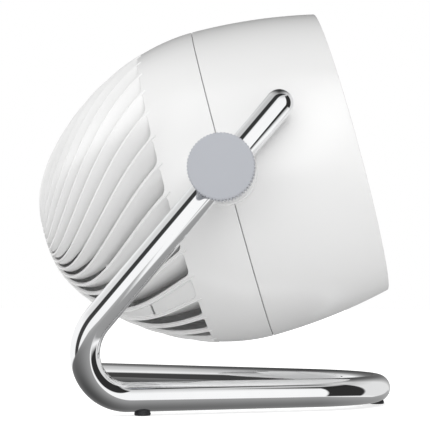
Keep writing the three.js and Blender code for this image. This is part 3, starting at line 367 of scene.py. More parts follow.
# ---------------------------------------------------------------- materials
class Shader:
    """A material's node tree with short ways to add and link nodes."""

    def __init__(self, name, color, roughness, metallic=0.0, **sockets):
        self.material = bpy.data.materials.new(name)
        self.material.use_nodes = True
        self.tree = self.material.node_tree
        self.bsdf = self.tree.nodes["Principled BSDF"]
        self.bsdf.inputs["Base Color"].default_value = (*color, 1)
        self.bsdf.inputs["Roughness"].default_value = roughness
        self.bsdf.inputs["Metallic"].default_value = metallic
        for key, value in sockets.items():
            self.bsdf.inputs[key.replace("_", " ")].default_value = value
        self.place = self.add("ShaderNodeTexCoord").outputs["Object"]

    def add(self, kind, **values):
        node = self.tree.nodes.new(kind)
        for key, value in values.items():
            if hasattr(node, key):
                setattr(node, key, value)
            else:
                node.inputs[key.replace("_", " ")].default_value = value
        return node

    def link(self, start, end):
        self.tree.links.new(start, end)

    def noise(self, scale, detail, rough=0.5, stretch=None):
        node = self.add("ShaderNodeTexNoise", Scale=scale, Detail=detail, Roughness=rough)
        if stretch:
            mapping = self.add("ShaderNodeMapping")
            mapping.inputs["Scale"].default_value = stretch
            self.link(self.place, mapping.inputs["Vector"])
            self.link(mapping.outputs["Vector"], node.inputs["Vector"])
        else:
            self.link(self.place, node.inputs["Vector"])
        return node.outputs["Fac"]

    def spread_value(self, source, low, high, start=0.3, end=0.7):
        node = self.add("ShaderNodeMapRange")
        node.inputs["From Min"].default_value = start
        node.inputs["From Max"].default_value = end
        node.inputs["To Min"].default_value = low
        node.inputs["To Max"].default_value = high
        self.link(source, node.inputs["Value"])
        return node.outputs["Result"]

    def blend_color(self, source, first, second, start=0.3, end=0.7):
        node = self.add("ShaderNodeMix", data_type="RGBA")
        for socket in node.inputs:
            if socket.type == "RGBA":
                socket.default_value = (*(first if socket.name == "A" else second), 1)
        self.link(self.spread_value(source, 0, 1, start, end), node.inputs["Factor"])
        return [s for s in node.outputs if s.type == "RGBA"][0]

    def bump(self, source, distance, strength, after=None):
        node = self.add("ShaderNodeBump")
        node.inputs["Strength"].default_value = strength
        node.inputs["Distance"].default_value = distance
        self.link(source, node.inputs["Height"])
        if after:
            self.link(after, node.inputs["Normal"])
        return node.outputs["Normal"]

    def set(self, socket, source):
        self.link(source, self.bsdf.inputs[socket])


def moulded(name, color, tone, roughness, coat=0.0, grain=0.0):
    """Moulded plastic: a trace of colour drift, a roughness that wanders, and a fine or polished skin."""
    shader = Shader(name, color, roughness, Coat_Weight=coat, Coat_Roughness=0.24, Coat_IOR=1.75)
    darker = tuple(c * tone for c in color)
    shader.set("Base Color", shader.blend_color(shader.noise(9, 2), darker, color, 0.2, 0.8))
    wander = shader.noise(60, 3)
    shader.set("Roughness", shader.spread_value(wander, roughness * 0.94, roughness * 1.06, 0.2, 0.8))
    wave = shader.bump(shader.noise(22, 1), 0.00002, 0.2)
    if grain:
        wave = shader.bump(shader.noise(2600, 2), grain, 0.6, wave)
    shader.set("Normal", wave)
    return shader.material


def polished_chrome():
    shader = Shader("polished_chrome", (0.93, 0.935, 0.94), 0.03, 1.0)
    drift = shader.noise(22, 4)
    shader.set("Base Color", shader.blend_color(drift, (0.9, 0.905, 0.915), (0.95, 0.955, 0.96)))
    shader.set("Roughness", shader.spread_value(shader.noise(160, 6, 0.65), 0.02, 0.05))
    return shader.material


def plain_metal(name, color, roughness, stretch=(1, 1, 1)):
    shader = Shader(name, color, roughness, 1.0)
    darker = tuple(c * 0.82 for c in color)
    lines = shader.noise(420, 4, 0.6, stretch)
    shader.set("Base Color", shader.blend_color(lines, darker, color))
    shader.set("Roughness", shader.spread_value(lines, roughness * 0.75, roughness * 1.3))
    shader.set("Normal", shader.bump(lines, 0.00003, 0.5))
    return shader.material


def soft_rubber():
    shader = Shader("foot_rubber", (0.022, 0.022, 0.024), 0.62)
    dust = shader.noise(900, 3)
    shader.set("Base Color", shader.blend_color(dust, (0.016, 0.016, 0.018), (0.03, 0.03, 0.033)))
    shader.set("Normal", shader.bump(shader.noise(3000, 2), 0.00005, 0.7))
    return shader.material


WHITE = moulded("shell_white", (0.86, 0.86, 0.857), 0.99, 0.34, coat=0.9)
KNOB = moulded("knob_plastic", (0.407, 0.421, 0.456), 0.98, 0.36, coat=0.1, grain=0.00001)
CHROME = polished_chrome()
RUBBER = soft_rubber()
SMOKE = moulded("smoke_plastic", (0.46, 0.47, 0.49), 0.95, 0.32)
DARK = moulded("duct_plastic", (0.06, 0.062, 0.068), 0.9, 0.55, grain=0.00003)
NYLON = moulded("saddle_nylon", (0.72, 0.72, 0.69), 0.95, 0.45, grain=0.00002)
STEEL = plain_metal("plain_steel", (0.5, 0.51, 0.53), 0.32)
ALLOY = plain_metal("bell_alloy", (0.66, 0.67, 0.68), 0.42)
BRASS = plain_metal("insert_brass", (0.72, 0.55, 0.26), 0.3)
COPPER = plain_metal("winding_enamel", (0.5, 0.19, 0.08), 0.35, (1, 12, 12))

NODE_LOOKS = {
    "smoke_plastic": SMOKE, "duct_plastic": DARK, "foot_rubber": RUBBER, "saddle_nylon": NYLON,
    "plain_steel": STEEL, "bell_alloy": ALLOY, "winding_enamel": COPPER, "insert_brass": BRASS,
    "stand_chrome": CHROME, "shell_white": WHITE, "knob_plastic": KNOB,
}


def dress_kept_nodes():
    """The carried-over CAD nodes get the finish of their slot."""
    for row in frame["record"]["subparts"]:
        node = frame["nodes"][row["node"]]
        if not node.hide_render:
            node.data.materials.clear()
            node.data.materials.append(NODE_LOOKS[row["material_slot"]])


# ---------------------------------------------------------------- stand
def bent_path(corners, radii, step):
    """Stations (point, direction) along straight runs with a round bend at each inner corner."""
    heading = [(b - a).normalized() for a, b in zip(corners, corners[1:])]
    stations = [(corners[0], heading[0])]
    for i, radius in enumerate(radii):
        into, out = heading[i], heading[i + 1]
        turn = into.angle(out)
        start = corners[i + 1] - into * radius * math.tan(turn / 2)
        inward = (out - into * out.dot(into)).normalized()
        count = math.ceil(turn / math.radians(step))
        for k in range(count + 1):
            angle = turn * k / count
            point = start + into * radius * math.sin(angle) + inward * radius * (1 - math.cos(angle))
            stations.append((point, into * math.cos(angle) + inward * math.sin(angle)))
    stations.append((corners[-1], heading[-1]))
    return stations


def stand_path():
    """The tube's centre line, from the domed end of the arm to the far leg's end, in metres."""
    rise, splay = math.radians(ARM_ANGLE), math.radians(ARM_SPLAY)
    leg_height = (FOOT_HEIGHT + TUBE_RADIUS) * MM
    reach = TUBE_RADIUS / math.cos(splay)
    offset = HEAD_RADIUS + PAD_THICK + GAP + PAD_RADIUS * math.tan(splay) + reach
    arm = Vector((math.cos(rise), 0, math.sin(rise))) * math.cos(splay)
    arm.y = math.sin(splay)
    hinge = Vector((PIVOT.x, PIVOT.y - offset * MM, PIVOT.z))
    rear = hinge + arm * (leg_height - hinge.z) / arm.z
    centre = Vector((PIVOT.x + (NOSE_REACH - NOSE_RADIUS) * MM, PIVOT.y, leg_height))
    away = centre - rear
    leg = math.atan2(away.y, away.x) - math.asin(NOSE_RADIUS * MM / away.length)
    apex = Vector((centre.x + NOSE_RADIUS * MM / math.sin(leg), PIVOT.y, leg_height))
    end_x = PIVOT.x - FAR_LEG_REACH * MM
    end = Vector((end_x, PIVOT.y + (apex.x - end_x) * math.tan(leg), leg_height))
    corners = [hinge + arm * ARM_ABOVE_PIVOT * MM, rear, apex, end]
    return bent_path(corners, [BEND_RADIUS * MM, NOSE_RADIUS * MM], step=2)


def make_tube():
    """The bent tube with a dome at each end."""
    radius = TUBE_RADIUS * MM
    path = stand_path()
    rings = []
    side = Vector((0, 1, 0))
    facets, dome_steps = 72, 12
    dome = [math.radians(90 * k / dome_steps) for k in range(1, dome_steps)]

    def add(centre, along, size):
        nonlocal side
        side = (side - along * side.dot(along)).normalized()
        up = along.cross(side)
        rings.append([centre + (side * math.cos(a) + up * math.sin(a)) * size
                      for a in (2 * math.pi * i / facets for i in range(facets))])

    start, first = path[0]
    for a in reversed(dome):
        add(start - first * radius * math.sin(a), first, radius * math.cos(a))
    for point, along in path:
        add(point, along, radius)
    end, last = path[-1]
    for a in dome:
        add(end + last * radius * math.sin(a), last, radius * math.cos(a))
    return dress(lofted("bent_tube", rings, crease=60), "stand", CHROME, "stand_chrome", "stand_tube")


def upright(centre):
    """Places points round an upright line; the axial value is the height above the floor."""
    def place(height, radius, angle):
        return Vector((centre.x + radius * MM * math.cos(angle), centre.y + radius * MM * math.sin(angle),
                       height * MM))
    return place


def make_feet():
    top = FOOT_HEIGHT + FOOT_IN_TUBE
    profile = [(0, 0, False), (0, FOOT_RADIUS - 0.2, True), (FOOT_BELLY, FOOT_RADIUS, True),
               (FOOT_HEIGHT, FOOT_RADIUS - 0.5, True), (top, FOOT_RADIUS - 0.9, False), (top, 0, False)]
    for node in ("foot_near", "foot_far", "foot_nose"):
        low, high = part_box(node)
        place = upright((low + high) / 2)
        foot = turned("rubber_" + node, rounded(profile, 0.7), place, segments=48)
        dress(foot, "stand", RUBBER, "foot_rubber", node)


# ---------------------------------------------------------------- rear bowl
SLOT_T = where(BOWL, 0, -SLOT_END)
HUB_T = where(BOWL, 1, HUB_RADIUS)
STEP_T = where(BOWL, 0, STEP_AXIAL)
SLOT_RADIUS = bezier(BOWL, SLOT_T).y
PITCH = 2 * math.pi / VANE_COUNT


def vane_angle(radius):
    return math.radians(VANE_PHASE + VANE_SWEEP * (SLOT_RADIUS - radius))


def way_out(radius):
    """0 at the hub and 1 at the slots' ends."""
    return max(0.0, min(1.0, (radius - HUB_RADIUS) / (SLOT_RADIUS - HUB_RADIUS)))


def bowl_point(t, angle, depth=0.0):
    axial, radius = inset(BOWL, t, depth)
    return head_point(axial, radius, angle)


def vane_half(t):
    """Half the width of a vane's outer edge."""
    return VANE_EDGE * (0.5 + 0.5 * way_out(bezier(BOWL, t).y)) / 2


def slot_side(distance, corner, half):
    """How far the skin reaches beside a vane's middle, at a distance past the slots' ends."""
    share = max(0.0, 1 - distance / corner)
    return half + corner * (1 - math.sqrt(1 - share * share))


def bowl_skin():
    """The outer skin: a closed band, then one narrow strip to the pole for each vane, with round corners."""
    beside = 3  # columns of the band on each side of a vane
    seam = where(BOWL, 0, -SEAM_GAP / 2)
    dense = spread(seam, HUB_T + 0.015, 900)
    lengths = [0.0]
    for a, b in zip(dense, dense[1:]):
        lengths.append(lengths[-1] + (bezier(BOWL, b) - bezier(BOWL, a)).length)
    slot_length = next(length for length, t in zip(lengths, dense) if t >= SLOT_T)

    def place(distance):
        """The place on the bowl's curve at a distance past the slots' ends."""
        target = slot_length + distance
        k = next((i for i, length in enumerate(lengths) if length >= target), len(dense) - 1)
        if k == 0:
            return seam
        share = (target - lengths[k - 1]) / (lengths[k] - lengths[k - 1])
        return dense[k - 1] + (dense[k] - dense[k - 1]) * share

    band = [place(d) for d in spread(-slot_length, -6, 8) + [-3, -1.2]] + [SLOT_T]
    stops = [0.12, 0.35, 0.7, 1.15, 1.7, 2.3, 3.0, 3.8, 5.0, 7.0]
    stops += spread(9.5, lengths[-1] - slot_length, 40)
    strip = [(d, place(d)) for d in stops]
    half = vane_half(SLOT_T)
    first_up = (half + LOWER_CORNER) / SLOT_RADIUS
    first_down = (half + UPPER_CORNER) / SLOT_RADIUS
    across = spread(-PITCH / 2, -first_up, beside) + [0] + spread(first_down, PITCH / 2, beside)
    vertices = []
    faces = []
    for v in range(VANE_COUNT):
        first = len(vertices)
        middle = PITCH * v + vane_angle(SLOT_RADIUS)
        vertices += [bowl_point(t, middle + angle) for t in band for angle in across]
        faces += [tuple(first + q for q in f) for f in ring_faces(len(band), len(across), closed=False)]
        row = first + (len(band) - 1) * len(across) + beside
        for distance, t in strip:
            radius = bezier(BOWL, t).y
            half = vane_half(t)
            up = slot_side(distance, LOWER_CORNER, half) / radius
            down = slot_side(distance, UPPER_CORNER, half) / radius
            middle = PITCH * v + vane_angle(radius)
            here = len(vertices)
            vertices += [bowl_point(t, middle + angle) for angle in (-up, 0, down)]
            faces += [(row + i, row + i + 1, here + i + 1, here + i) for i in (0, 1)]
            row = here
    skin = new_piece("bowl_skin", vertices, faces, crease=180)
    wall = skin.modifiers.new("wall", "SOLIDIFY")
    wall.thickness = SHELL_WALL * MM * 0.9
    wall.offset = -1
    edge = skin.modifiers.new("edge", "BEVEL")
    edge.width = SLOT_EDGE * MM
    edge.segments = 3
    edge.limit_method = "ANGLE"
    edge.angle_limit = math.radians(50)
    edge.use_clamp_overlap = False
    edge.harden_normals = True
    return applied(skin)


def slot_floor(start, end):
    """A floor under the first slot, between two distances behind the seam."""
    rings = []
    for t in spread(where(BOWL, 0, -start), where(BOWL, 0, -end), 16):
        radius = bezier(BOWL, t).y
        first = vane_angle(radius) + BLANK_SUNK * math.tan(math.radians(VANE_LEAN)) / radius
        angles = spread(first, first + PITCH, 6)
        outer = [bowl_point(t, a, BLANK_SUNK) for a in angles]
        rings.append(outer + [bowl_point(t, a, BLANK_SUNK + BLANK_THICK) for a in reversed(angles)])
    return lofted("slot_floor", rings, crease=40)


def vane_reach(t, axial):
    """How deep a vane's web goes, as a share of the way to the next vane."""
    reach = VANE_REACH + FRONT_REACH * max(0.0, 1 + (axial + SLOT_END) / FRONT_RUN)
    if t > STEP_T:
        reach *= STEP_REACH - POLE_LOSS * min(1.0, (STEP_AXIAL - axial) / POLE_RUN)
    return reach


def bowl_vanes():
    """The leaning webs under the vanes' outer edges."""
    step_half = 0.0008
    stations = spread(SLOT_T - 0.012, HUB_T + 0.02, 60) + [STEP_T - step_half, STEP_T + step_half]
    stations.sort()
    lean = math.radians(VANE_LEAN)
    vertices = []
    faces = []
    for v in range(VANE_COUNT):
        base = len(vertices)
        for t in stations:
            axial, radius = bezier(BOWL, t)
            angle = PITCH * v + vane_angle(radius)
            tangent = slope(BOWL, t)
            out, round_way = outward(angle), roundward(angle)
            inward = AXIS * -tangent.y + out * tangent.x
            swing = radius * math.radians(VANE_SWEEP) * tangent.y
            travel = AXIS * tangent.x + out * tangent.y - round_way * swing
            down = inward * math.cos(lean) + round_way * math.sin(lean)
            across = travel.normalized().cross(down).normalized()
            depth = vane_reach(t, axial) * PITCH * radius / math.sin(lean)
            half = vane_half(t) * 0.92
            foot = VANE_FOOT / 2 * (0.6 + 0.4 * way_out(radius))
            top = head_point(axial, radius, angle) + inward * 0.5 * MM
            section = [(-half, 0), (half, 0), (foot, depth - 0.5), (foot * 0.5, depth),
                       (-foot * 0.5, depth), (-foot, depth - 0.5)]
            vertices += [top + (across * offset + down * deep) * MM for offset, deep in section]
        faces += tube_faces(len(stations), len(section), base)
    return new_piece("bowl_vanes", vertices, faces, crease=40)


def bowl_hub():
    """The closed pole with the pocket that the dial sits in."""
    flat = BOWL[-1][0]
    inside = flat + HUB_THICK
    floor = flat + DIAL_THICK + GAP
    pocket = DIAL_RADIUS + RUN_GAP
    bore = 3.4
    profile = [(inside, bore, False), (inside, HUB_RADIUS - 0.4, True)]
    profile += [(*inset(BOWL, t, 0), False) for t in spread(HUB_T - 0.004, 1, 10)]
    profile += [(flat, pocket + 0.4, True), (flat, pocket, True)]
    profile += [(floor, pocket, True), (floor, bore, False)]
    return turned("bowl_hub", rounded(profile, 0.5), head_point, segments=144)


def bowl_tongue():
    """The ring that reaches under the front shell at the seam."""
    root, shoulder = -12, -6
    top = HEAD_RADIUS - SHELL_WALL - GAP
    under = top - TONGUE_THICK
    profile = [(root, top - 0.6, False), (shoulder, under, False), (TONGUE_REACH, under, True),
               (TONGUE_REACH, top, True), (shoulder, top, False)]
    return turned("bowl_tongue", rounded(profile, 0.3), head_point, segments=144)


def bowl_ring():
    """The bar inside the bowl that ties the vanes."""
    outer = bezier(BOWL, where(BOWL, 0, -RING_BEHIND)).y - RING_SUNK
    inner = outer - RING_BAR
    back, front = -RING_BEHIND - RING_BAR / 2, -RING_BEHIND + RING_BAR / 2
    profile = [(back, inner, True), (front, inner, True), (front, outer, True), (back, outer, True)]
    return turned("bowl_ring", rounded(profile, 0.5), head_point, segments=144)


def duct_posts():
    """Four posts inside the band that the duct's screws go into."""
    start, end = -SLOT_END + 2, DUCT_START - GAP
    foot = bezier(BOWL, where(BOWL, 0, start)).y - SHELL_WALL / 2
    low = (start, DUCT_SCREW_RADIUS - POST_WALL, -SPOKE_HALF)
    return [bar("duct_post", low, (end, foot, SPOKE_HALF), angle) for angle in SPOKE_ANGLES]


def make_bowl():
    notch = SLOT_END + BLANK_NOTCH
    floors = [slot_floor(SLOT_END - 1, notch), slot_floor(notch + BLANK_NOTCH_WIDTH, SLOT_END + BLANK_LENGTH)]
    pieces = [bowl_skin(), bowl_vanes(), bowl_hub(), bowl_tongue(), bowl_ring(), *floors, *duct_posts()]
    dress(joined("rear_bowl", pieces), "head", WHITE, "shell_white", "rear_shell")


# ---------------------------------------------------------------- front shell
def make_front():
    rim = FRONT[-1][0]
    back = SEAM_GAP / 2
    outer = [inset(FRONT, t, 0) for t in spread(0, 1, 28)]
    inner = [inset(FRONT, t, SHELL_WALL) for t in spread(0, 1, 28)]
    profile = [(back, outer[0][1], True)]
    profile += [(a, r, False) for a, r in outer[1:-1]]
    profile += [(rim, outer[-1][1], True), (rim, inner[-1][1], True)]
    profile += [(a, r, False) for a, r in reversed(inner[1:-1])]
    profile += [(back, inner[0][1], True)]
    shell = turned("front_body", rounded(profile, 0.55, steps=5), head_point, segments=288, crease=40)
    wide = bezier(FRONT, where(FRONT, 0, LEDGE)).y - SHELL_WALL
    ledge_back = LEDGE - LEDGE_THICK
    ledge = [(ledge_back, wide + 0.6, False), (LEDGE, wide + 0.3, False), (LEDGE, wide - LEDGE_WIDTH, True),
             (ledge_back, wide - LEDGE_WIDTH, True)]
    seat = turned("front_ledge", rounded(ledge, 0.4), head_point, segments=144)
    dress(joined("front_body", [shell, seat]), "head", WHITE, "shell_white", "front_shell")


# ---------------------------------------------------------------- front grille and its cap
def grille_outer():
    """The grille's radius: a gap inside the straight taper from the ledge to the rim."""
    _, wide = inset(FRONT, where(FRONT, 0, LEDGE), SHELL_WALL)
    _, narrow = inset(FRONT, 1, SHELL_WALL)
    return wide + (narrow - wide) * (GRILLE_FRONT - LEDGE) / (FRONT[-1][0] - LEDGE) - GAP


def grille_face(radius):
    return GRILLE_FRONT + GRILLE_DOME * (1 - (radius / grille_outer()) ** 2)


def grille_vanes():
    """Swirled bars with a round front edge."""
    first, last = CAP_RADIUS - 2, grille_outer() - 1
    sweep = math.radians(GRILLE_SWEEP)
    section = [(-0.9, 7), (-0.9, 0.75), (-0.6, 0.2), (0, 0), (0.6, 0.2), (0.9, 0.75), (0.9, 7)]
    stations = spread(0, 1, 30)
    vertices = []
    faces = []
    for v in range(GRILLE_VANES):
        base = len(vertices)
        for share in stations:
            radius = first + (last - first) * share
            angle = 2 * math.pi * v / GRILLE_VANES + sweep * share ** GRILLE_CURL
            swing = GRILLE_CURL * sweep * share ** (GRILLE_CURL - 1) * radius / (last - first)
            side = (outward(angle) + roundward(angle) * swing).normalized().cross(AXIS)
            for offset, deep in section:
                vertices.append(head_point(grille_face(radius) - deep, radius, angle) + side * offset * MM)
        faces += [tuple(base + q for q in face) for face in ring_faces(len(stations), len(section))]
    return new_piece("grille_vanes", vertices, faces, crease=40)


def make_grille():
    outer = grille_outer()
    inner = outer - GRILLE_RING
    profile = [(GRILLE_BACK, inner, True), (GRILLE_FRONT, inner, True), (GRILLE_FRONT, outer, True),
               (GRILLE_BACK, outer, True)]
    ring = turned("grille_ring", rounded(profile, 0.9, steps=5), head_point, segments=192)
    seat = grille_face(CAP_RADIUS) - 2
    under = seat - 5
    profile = [(under, 0, False), (under, CAP_RADIUS, True), (seat, CAP_RADIUS, True), (seat, 0, False)]
    centre = turned("grille_centre", rounded(profile, 0.6), head_point, segments=96)
    grille = joined("swirl_grille", [ring, centre, grille_vanes()])
    dress(grille, "head", SMOKE, "smoke_plastic", "front_grille")
    back = seat + GAP
    rim = back + CAP_RIM
    radius = CAP_RADIUS + 1.5
    profile = [(back, 0, False), (back, radius, True), (rim, radius, True)]
    profile += [(rim + CAP_CROWN * (1 - share * share), radius * share, False)
                for share in spread(0.97, 0, 12)]
    cap = turned("centre_cap", rounded(profile, 0.8, steps=5), head_point, segments=144)
    dress(cap, "head", WHITE, "shell_white", "grille_cap")


# ---------------------------------------------------------------- impeller, duct and motor
def blade(start):
    """One twisted blade of cambered section; it starts a little inside the hub."""
    root = BLADE_HUB - 1.1
    rings = []
    for share in spread(0, 1, 26):
        radius = root + share * (BLADE_RADIUS - root)
        pitch = math.radians(BLADE_ROOT_PITCH - (BLADE_ROOT_PITCH - BLADE_TIP_PITCH) * share)
        chord = BLADE_CHORD * (0.5 + 0.5 * math.sin(math.pi * (0.12 + 0.62 * share)))

        def point(s, side):
            bulge = math.sqrt(max(1 - 3.6 * s * s, 0.08))
            lift = BLADE_CAMBER * chord * (1 - 4 * s * s) + side * BLADE_THICK / 2 * bulge
            along = s * chord * math.cos(pitch) - lift * math.sin(pitch)
            axial = BLADE_PLANE + s * chord * math.sin(pitch) + lift * math.cos(pitch)
            return head_point(axial, radius, start + BLADE_SKEW * share ** 2 + along / radius)

        steps = spread(-0.5, 0.5, 18)
        rings.append([point(s, 1) for s in steps] + [point(s, -1) for s in reversed(steps)])
    return lofted("blade", rings, crease=45)


def make_impeller():
    back, front = -16, 26
    bore, boss, inner = 4.35, 10, BLADE_HUB - BLADE_THICK
    profile = [(front, bore, False), (front, 14, True), (22, 25.8, True), (16, BLADE_HUB, True),
               (back, BLADE_HUB, True), (back, inner, True), (14.9, inner, True), (19.8, boss, False),
               (back, boss, True), (back, bore, False)]
    hub = turned("impeller_hub", rounded(profile, 2.2, steps=6), head_point, segments=120)
    blades = [blade(2 * math.pi * i / BLADE_COUNT) for i in range(BLADE_COUNT)]
    dress(joined("impeller", [hub, *blades]), "rotor", SMOKE, "smoke_plastic", "fan_blade")


def make_duct():
    flange = bezier(BOWL, where(BOWL, 0, DUCT_START)).y - SHELL_WALL - 1
    step = DUCT_START + DUCT_WALL
    mouth = 1  # the throat's start is this much wider
    straight, flare = -4.5, 24.5
    outer, wide = DUCT_THROAT + DUCT_WALL, DUCT_THROAT + DUCT_FLARE
    profile = [(DUCT_START, DUCT_THROAT + mouth, True), (straight, DUCT_THROAT, True),
               (flare, DUCT_THROAT, True), (DUCT_END, wide, True), (DUCT_END, wide + DUCT_WALL, True),
               (flare, outer, True), (step, outer + mouth, True), (step, flange, True),
               (DUCT_START, flange, True)]
    shell = turned("duct_shell", rounded(profile, 0.9), head_point, segments=192)
    front = DUCT_START + SPOKE_DEPTH
    profile = [(DUCT_START, PLATE_BORE, True), (front, PLATE_BORE, True), (front, PLATE_RADIUS, True),
               (DUCT_START, PLATE_RADIUS, True)]
    plate = turned("duct_plate", rounded(profile, 0.8), head_point, segments=96)
    low, high = (DUCT_START, PLATE_RADIUS - 4, -SPOKE_HALF), (front, DUCT_THROAT + 1.5, SPOKE_HALF)
    spokes = [bar("duct_spoke", low, high, angle) for angle in SPOKE_ANGLES]
    dress(joined("air_duct", [shell, plate, *spokes]), "head", DARK, "duct_plastic", "fan_duct")


def rear_bell():
    rim = MOTOR_BACK + BELL_DEPTH
    floor = MOTOR_BACK + MOTOR_WALL
    seat = floor + BEARING_WIDTH
    wall = BEARING_SEAT + 2
    inner = MOTOR_RADIUS - MOTOR_WALL
    profile = [(MOTOR_BACK, BELL_BORE, True), (MOTOR_BACK, MOTOR_RADIUS - 3, True),
               (MOTOR_BACK + 3, MOTOR_RADIUS, True), (rim, MOTOR_RADIUS, True), (rim, inner, True),
               (floor, inner, True), (floor, wall, True), (seat, wall, True), (seat, BEARING_SEAT, True),
               (floor, BEARING_SEAT, False), (floor, BELL_BORE, False)]
    bell = turned("rear_bell", rounded(profile, 1.2, steps=5), head_point, segments=120)
    dress(bell, "head", ALLOY, "bell_alloy", "motor_rear_bell")


def stator_stack():
    """The stator's plates show as fine grooves round its edge."""
    groove = MOTOR_RADIUS - 0.25
    edges = spread(STATOR_BACK, STATOR_FRONT, STATOR_PLATES)
    profile = [(STATOR_BACK, STATOR_BORE), (STATOR_BACK, groove)]
    for start, end in zip(edges, edges[1:]):
        profile += [(start + 0.1, groove), (start + 0.2, MOTOR_RADIUS)]
        profile += [(end - 0.2, MOTOR_RADIUS), (end - 0.1, groove)]
    profile += [(STATOR_FRONT, groove), (STATOR_FRONT, STATOR_BORE)]
    stack = turned("stator_stack", profile, head_point, segments=120)
    dress(stack, "head", STEEL, "plain_steel", "stator_core")


def capacitor_can():
    front = MOTOR_BACK - GAP
    back = front - CAN_LENGTH
    recess = back + 0.6
    profile = [(front, 0, False), (front, CAN_RADIUS, True), (back, CAN_RADIUS, True), (back, 8.5, False),
               (recess, 8.2, False), (recess, 0, False)]

    def place(axial, radius, angle):
        centre = head_point(axial, CAN_LOWER, math.pi / 2)
        return centre + (FAR * math.cos(angle) + RISE * math.sin(angle)) * radius * MM

    can = turned("capacitor_can", rounded(profile, 1.4, steps=5), place, segments=64)
    dress(can, "head", DARK, "duct_plastic", "run_capacitor")


def make_dial():
    face = BOWL[-1][0]
    back, hollow = face + DIAL_THICK, face + DIAL_HOLLOW
    profile = [(back, DIAL_BORE, False), (back, DIAL_RADIUS, True), (face, DIAL_RADIUS, True),
               (face, 9, False), (hollow, 8.4, False), (hollow, DIAL_BORE, False)]
    dial = turned("dial_grip", rounded(profile, 0.7, steps=5), head_point, segments=144)
    low, high = (face - 1, 4.5, -0.8), (face + 0.7, 13.5, 0.8)
    notch = bar("dial_notch", low, high, math.pi / 2, width=0.3)
    cutter = dial.modifiers.new("notch", "BOOLEAN")
    cutter.object = notch
    applied(dial)
    bpy.data.objects.remove(notch)
    dress(dial, "dial", KNOB, "knob_plastic", "speed_dial")


# ---------------------------------------------------------------- pivot: pad and knob
def side_place(out, radius, angle):
    """A point round the tilt axis; out is measured from the middle plane towards the near side."""
    return Vector((PIVOT.x + radius * MM * math.cos(angle), PIVOT.y - out * MM,
                   PIVOT.z + radius * MM * math.sin(angle)))


def make_pad():
    low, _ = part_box("pivot_hub")
    face = (PIVOT.y - low.y) / MM
    neck, skirt = face - NECK_REACH, face - PAD_SKIRT
    profile = [(neck, NECK_RADIUS, False), (neck, STUD_HOLE, False), (face, STUD_HOLE, False),
               (face, PAD_RADIUS, True), (skirt, PAD_RADIUS, False), (skirt, NECK_RADIUS, False)]
    pad = turned("pivot_pad", rounded(profile, 0.9), side_place, segments=120)
    dress(pad, "head", WHITE, "shell_white", "pivot_hub")


def make_knob():
    """The knob with its face disc in one skin; each row says how much of the flutes' depth it carries."""
    low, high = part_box("knob_grip")
    face = (PIVOT.y - low.y) / MM
    back = (PIVOT.y - high.y) / MM
    flute = [0, 0, 0.12, 0.85, 1, 0.85, 0.12, 0]
    count = KNOB_FLUTES * len(flute)
    socket_radius = 10
    rows = [(back, socket_radius, 0), (back, KNOB_RADIUS - 1.1, 0), (back, KNOB_RADIUS - 0.5, 1),
            (back + 0.5, KNOB_RADIUS, 1), (face - 1.6, KNOB_RADIUS, 1), (face - 1.1, KNOB_RADIUS, 0.7),
            (face - 0.6, KNOB_RADIUS - 0.05, 0.6), (face - 0.2, KNOB_RADIUS - 0.22, 0.5),
            (face, KNOB_RADIUS - 0.7, 0.3), (face, KNOB_RADIUS - 1.9, 0), (face, 0, 0)]
    vertices = []
    for out, radius, share in rows:
        for i in range(count):
            carved = radius - share * FLUTE_DEPTH * flute[i % len(flute)]
            vertices.append(side_place(out, carved, 2 * math.pi * i / count))
    knob = new_piece("clamp_knob", vertices, ring_faces(len(rows), count), crease=32)
    floor = back + 11
    profile = [(back, socket_radius), (floor, socket_radius), (floor, STUD_HOLE), (back, STUD_HOLE)]
    socket = turned("knob_socket", profile, side_place, segments=60)
    dress(joined("clamp_knob", [knob, socket]), "knob", KNOB, "knob_plastic", "knob_grip", "knob_face")


# ---------------------------------------------------------------- camera, light and floor
def make_camera():
    """The camera solved from the photograph, placed from the head's seam centre."""
    yaw, pitch, roll = (math.radians(v) for v in CAMERA_TURN)
    ahead = Vector((-math.sin(yaw) * math.cos(pitch), math.cos(yaw) * math.cos(pitch), math.sin(pitch)))
    level = Vector((math.cos(yaw), math.sin(yaw), 0))
    above = level.cross(ahead)
    right = level * math.cos(roll) + above * math.sin(roll)
    up = above * math.cos(roll) - level * math.sin(roll)
    data = bpy.data.cameras.new("camera")
    data.sensor_width = 36
    data.sensor_fit = "HORIZONTAL"
    data.lens = FOCAL_PIXELS / PHOTO_PIXELS * data.sensor_width
    data.clip_start = 0.02
    data.clip_end = 60
    camera = bpy.data.objects.new("camera", data)
    bpy.context.scene.collection.objects.link(camera)
    turn = Matrix((right, up, -ahead)).transposed().to_4x4()
    camera.matrix_world = Matrix.Translation(SEAM + Vector(CAMERA_OFFSET) * MM) @ turn
    bpy.context.scene.camera = camera


def make_floor():
    """Pale paint that the camera sees as near white; the tube mirrors the world's darker ground instead."""
    size = 12
    corners = [(-size, -size, 0), (size, -size, 0), (size, size, 0), (-size, size, 0)]
    mesh = bpy.data.meshes.new("floor")
    mesh.from_pydata(corners, [], [(0, 1, 2, 3)])
    floor = bpy.data.objects.new("floor", mesh)
    bpy.context.scene.collection.objects.link(floor)
    floor.visible_glossy = False
    shader = Shader("floor_paint", (0.85, 0.85, 0.85), 0.9, Specular_IOR_Level=0.0)
    shader.set("Base Color", shader.blend_color(shader.noise(3, 3), (0.84, 0.84, 0.84), (0.86, 0.86, 0.86)))
    seen = shader.add("ShaderNodeLightPath").outputs["Is Camera Ray"]
    shader.bsdf.inputs["Emission Color"].default_value = (1, 1, 1, 1)
    shader.set("Emission Strength", shader.spread_value(seen, FLOOR_BOUNCE, FLOOR_GLOW, 0, 1))
    mesh.materials.append(shader.material)


